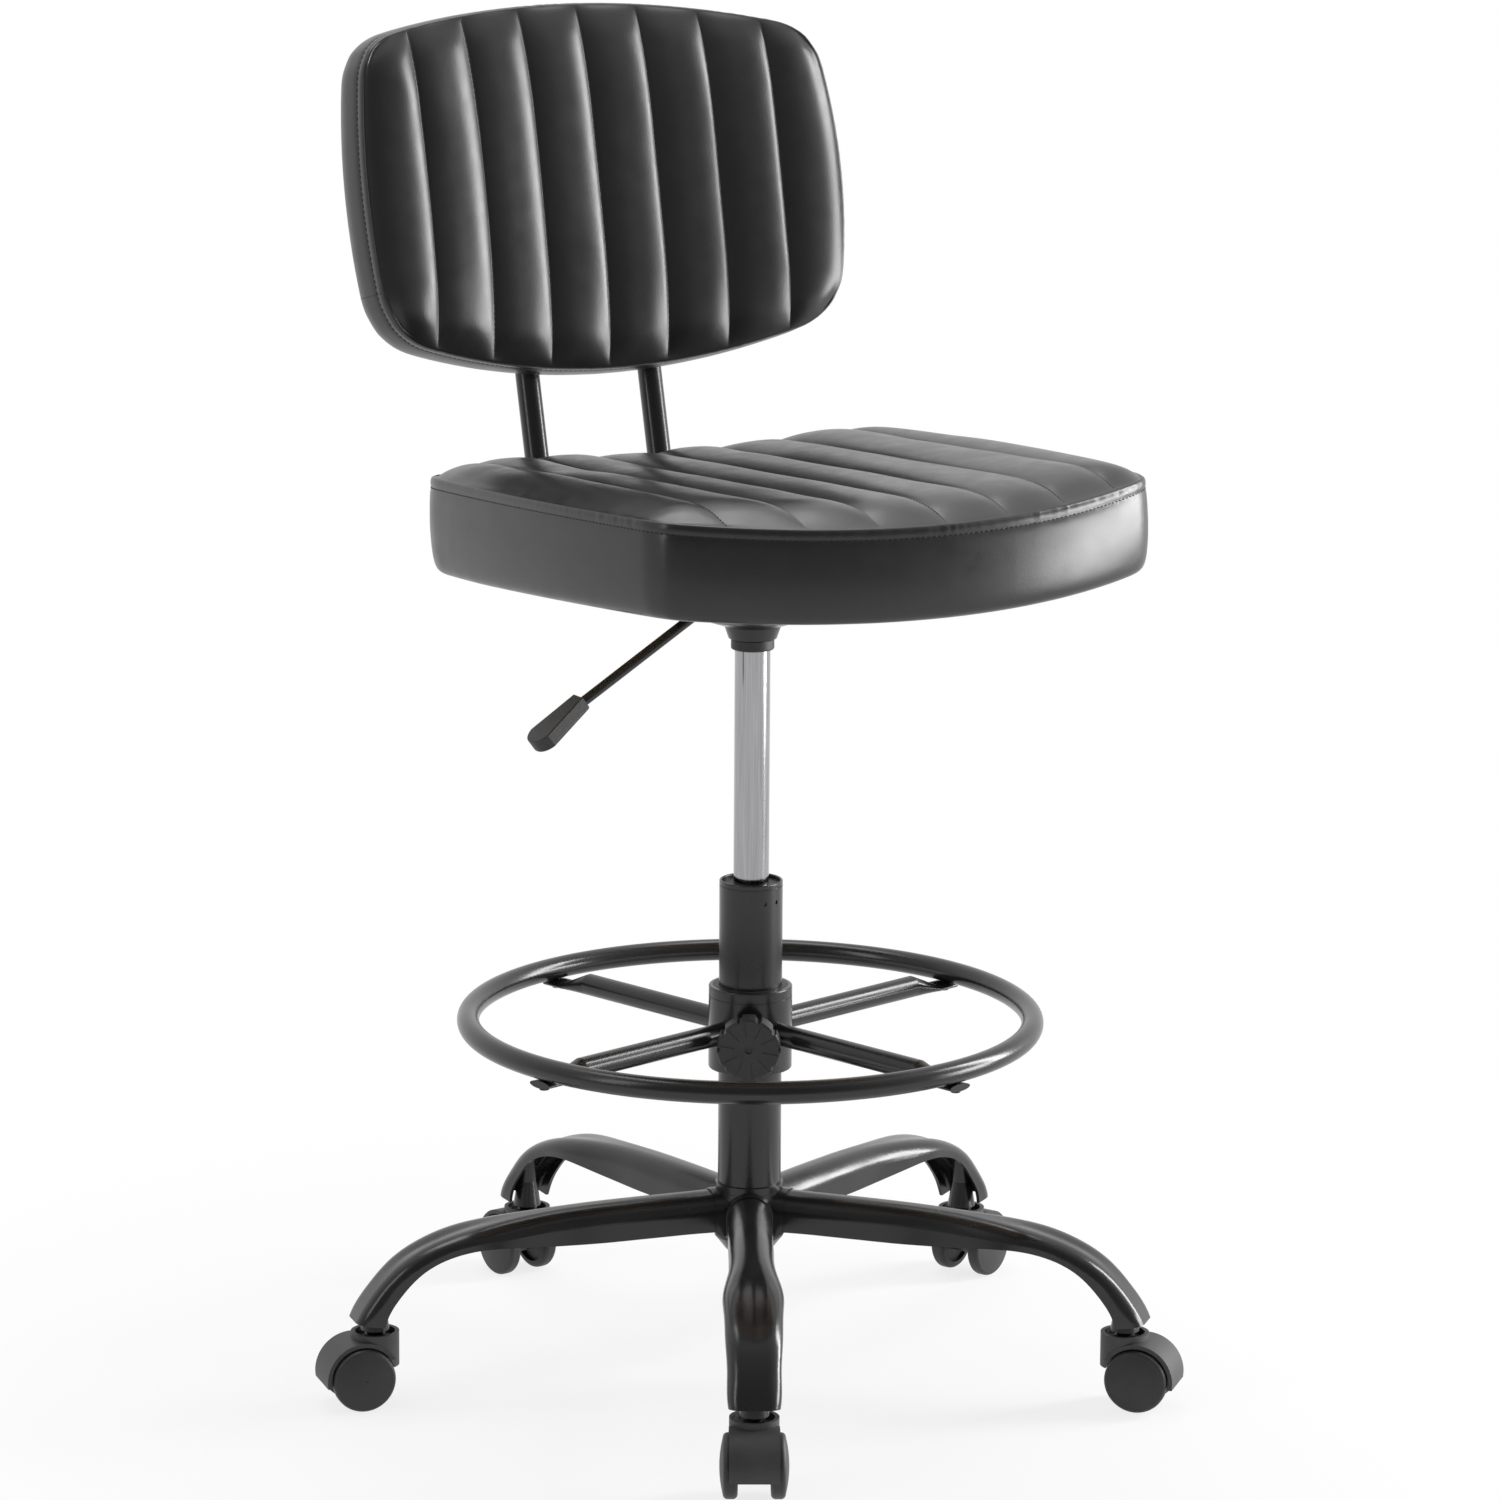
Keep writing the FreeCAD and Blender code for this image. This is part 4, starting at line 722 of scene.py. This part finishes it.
def stitch_tree():
    """Threads laid end to end along a curve: a long bead on each of its evenly spaced points."""
    tree = bpy.data.node_groups.new("stitches", "GeometryNodeTree")
    face = tree.interface
    face.new_socket("Geometry", in_out="INPUT", socket_type="NodeSocketGeometry")
    for label, kind in (("Pitch", "NodeSocketFloat"), ("Stitch Length", "NodeSocketFloat"),
                        ("Thread Radius", "NodeSocketFloat"), ("Thread", "NodeSocketMaterial")):
        face.new_socket(label, in_out="INPUT", socket_type=kind)
    face.new_socket("Geometry", in_out="OUTPUT", socket_type="NodeSocketGeometry")
    given, result = add_node(tree, "NodeGroupInput"), add_node(tree, "NodeGroupOutput")
    points = add_node(tree, "GeometryNodeCurveToPoints", mode="LENGTH")
    wire(tree, given, "Geometry", points, "Curve")
    wire(tree, given, "Pitch", points, "Length")
    bead = add_node(tree, "GeometryNodeMeshUVSphere", Segments=6, Rings=4)
    wire(tree, given, "Thread Radius", bead, "Radius")
    ratio = combine(tree, "DIVIDE", (given, "Stitch Length"), (given, "Thread Radius"))
    halve = add_node(tree, "ShaderNodeMath", operation="MULTIPLY")
    halve.inputs[1].default_value = 0.5
    wire(tree, ratio, 0, halve, 0)
    size = add_node(tree, "ShaderNodeCombineXYZ", X=1.0, Y=1.0)
    wire(tree, halve, 0, size, "Z")
    place = add_node(tree, "GeometryNodeInstanceOnPoints")
    wire(tree, points, "Points", place, "Points")
    wire(tree, bead, "Mesh", place, "Instance")
    wire(tree, points, "Rotation", place, "Rotation")
    wire(tree, size, "Vector", place, "Scale")
    real = add_node(tree, "GeometryNodeRealizeInstances")
    wire(tree, place, "Instances", real, "Geometry")
    colour = add_node(tree, "GeometryNodeSetMaterial")
    wire(tree, real, "Geometry", colour, "Geometry")
    wire(tree, given, "Thread", colour, "Material")
    wire(tree, colour, "Geometry", result, "Geometry")
    return tree


def sew(path, tree, **values):
    """The stitches along a curve, which they replace."""
    mod = path.modifiers.new(tree.name, "NODES")
    mod.node_group = tree
    for item in tree.interface.items_tree:
        key = item.name.replace(" ", "_").lower()
        if item.in_out == "INPUT" and key in values:
            mod[item.identifier] = values[key]
    made = link(bpy.data.objects.new(path.name.replace("line", "thread"), applied_mesh(path)))
    bpy.data.objects.remove(path)
    return made


def joined(objects, name):
    mesh = bpy.data.meshes.new(name)
    bm = bmesh.new()
    for obj in objects:
        bm.from_mesh(obj.data)
    bm.to_mesh(mesh)
    bm.free()
    for material in objects[0].data.materials:
        mesh.materials.append(material)
    for obj in objects:
        bpy.data.objects.remove(obj)
    mesh.polygons.foreach_set("use_smooth", [True] * len(mesh.polygons))
    return link(bpy.data.objects.new(name, mesh))


stitches = stitch_tree()
threads = {}
for label, kind, path in paths:
    sewn = sew(path, stitches, thread=thread, **thread_sizes[kind])
    threads.setdefault(label + "_stitches", []).append(sewn)
threads = {name: joined(parts, name) for name, parts in threads.items()}

for pad, node_name, stitching, fill in ((seat_pad, "seat_cushion", "seat_stitches", 0.75),
                                        (back_pad, "back_cushion", "back_stitches", 0.75)):
    remove_attributes(pad)
    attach(pad, "seat")
    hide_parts(node_name)
    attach(threads[stitching], "seat")


# ---- stage, lights and camera, metres --------------------------------------------------------
floor_reach = 6.0
fade_from, fade_to = 0.3, 0.9             # where the floor's shadow fades into the backdrop
shade_kept = 0.8                          # the backdrop's share of the floor close to the chair
room_light = 0.34
bright_side = (0.5, 0.866, 0.0)           # where what gloss shows of the room is white
dark_side_level = 0.22
gloss_falls_over = (-0.75, 0.45)          # from the dark side's direction to the bright side's
camera_azimuth, camera_rise = -30.0, 12.31      # degrees
camera_away = 5.002
camera_roll = 0.3636                      # degrees
camera_lens = 153.21
camera_target, camera_shift = (0, 0, 0.50395), 0.00155


def seen_directly(tree):
    """1 for rays from the camera and for what gloss and glass show."""
    path = add_node(tree, "ShaderNodeLightPath")
    seen = combine(tree, "MAXIMUM", (path, "Is Camera Ray"), (path, "Is Glossy Ray"))
    return combine(tree, "MAXIMUM", (seen, 0), (path, "Is Transmission Ray"))


def mix_surfaces(tree, share, first, second, output_name):
    mix = add_node(tree, "ShaderNodeMixShader")
    wire(tree, share, 0, mix, "Fac")
    wire(tree, first, 0, mix, 1)
    wire(tree, second, 0, mix, 2)
    wire(tree, mix, 0, tree.nodes[output_name], "Surface")


def make_floor():
    """Pale floor that takes the shadow and turns into the white backdrop further out."""
    far = floor_reach
    floor = mesh_object("studio_floor", [(-far, -far, 0), (far, -far, 0), (far, far, 0), (-far, far, 0)],
                        [(0, 1, 2, 3)], smooth=False)
    material, tree, shader = blank_material("pale_floor")
    shader.inputs["Base Color"].default_value = (0.86, 0.86, 0.86, 1)
    shader.inputs["Roughness"].default_value = 0.9
    shader.inputs["Specular IOR Level"].default_value = 0.1
    white = add_node(tree, "ShaderNodeEmission", Strength=1.0)
    place = add_node(tree, "ShaderNodeTexCoord")
    length = add_node(tree, "ShaderNodeVectorMath", operation="LENGTH")
    wire(tree, place, "Object", length, 0)
    fade = map_range(tree, length, "Value", (fade_from, fade_to), (shade_kept, 1.0), "SMOOTHSTEP")
    both = combine(tree, "MULTIPLY", (fade, "Result"), (seen_directly(tree), 0))
    mix_surfaces(tree, both, shader, white, "Material Output")
    floor.data.materials.append(material)


def make_world():
    """White backdrop all round; what gloss shows of it falls off towards the dark side of the room."""
    world = bpy.data.worlds.new("studio")
    bpy.context.scene.world = world
    world.use_nodes = True
    tree = world.node_tree
    plain = tree.nodes["Background"]
    plain.inputs["Color"].default_value = (1, 1, 1, 1)
    plain.inputs["Strength"].default_value = room_light
    white = add_node(tree, "ShaderNodeBackground", Color=(1, 1, 1, 1))
    place = add_node(tree, "ShaderNodeTexCoord")
    facing = add_node(tree, "ShaderNodeVectorMath", operation="DOT_PRODUCT")
    facing.inputs[1].default_value = bright_side
    wire(tree, place, "Generated", facing, 0)
    fall = map_range(tree, facing, "Value", gloss_falls_over, (dark_side_level, 1.0), "SMOOTHSTEP")
    path = add_node(tree, "ShaderNodeLightPath")
    level = combine(tree, "MAXIMUM", (fall, "Result"), (path, "Is Camera Ray"))
    wire(tree, level, 0, white, "Strength")
    mix_surfaces(tree, seen_directly(tree), plain, white, "World Output")


def area_light(name, place, target, width, height, power):
    data = bpy.data.lights.new(name, "AREA")
    data.shape = "RECTANGLE"
    data.size, data.size_y, data.energy = width, height, power
    obj = link(bpy.data.objects.new(name, data))
    obj.location = place
    obj.rotation_euler = (Vector(target) - Vector(place)).to_track_quat("-Z", "Y").to_euler()


def make_camera():
    azimuth, rise = math.radians(camera_azimuth), math.radians(camera_rise)
    back = Vector((math.sin(azimuth) * math.cos(rise), -math.cos(azimuth) * math.cos(rise), math.sin(rise)))
    turn = (-back).to_track_quat("-Z", "Y").to_matrix()
    data = bpy.data.cameras.new("camera")
    data.sensor_width = 36.0
    data.lens = camera_lens
    data.clip_start, data.clip_end = 0.1, 60
    camera = link(bpy.data.objects.new("camera", data))
    camera.location = Vector(camera_target) - turn.col[0] * camera_shift + back * camera_away
    camera.rotation_euler = (turn @ Matrix.Rotation(math.radians(camera_roll), 3, "Z")).to_euler()
    bpy.context.scene.camera = camera


make_floor()
make_world()
area_light("key", (2.2, -0.45, 1.3), (0, 0, 0.7), width=0.5, height=1.9, power=56)
area_light("low_key", (2.0, -1.15, 0.45), (0, 0, 0.45), width=0.8, height=0.7, power=24)
area_light("fill", (-2.3, -0.2, 1.5), (0, 0, 0.6), width=0.5, height=1.6, power=9)
area_light("top", (0.0, 0.7, 2.6), (0, 0, 0.6), width=1.8, height=1.0, power=22)
make_camera()
bpy.context.scene.view_settings.view_transform = "Standard"
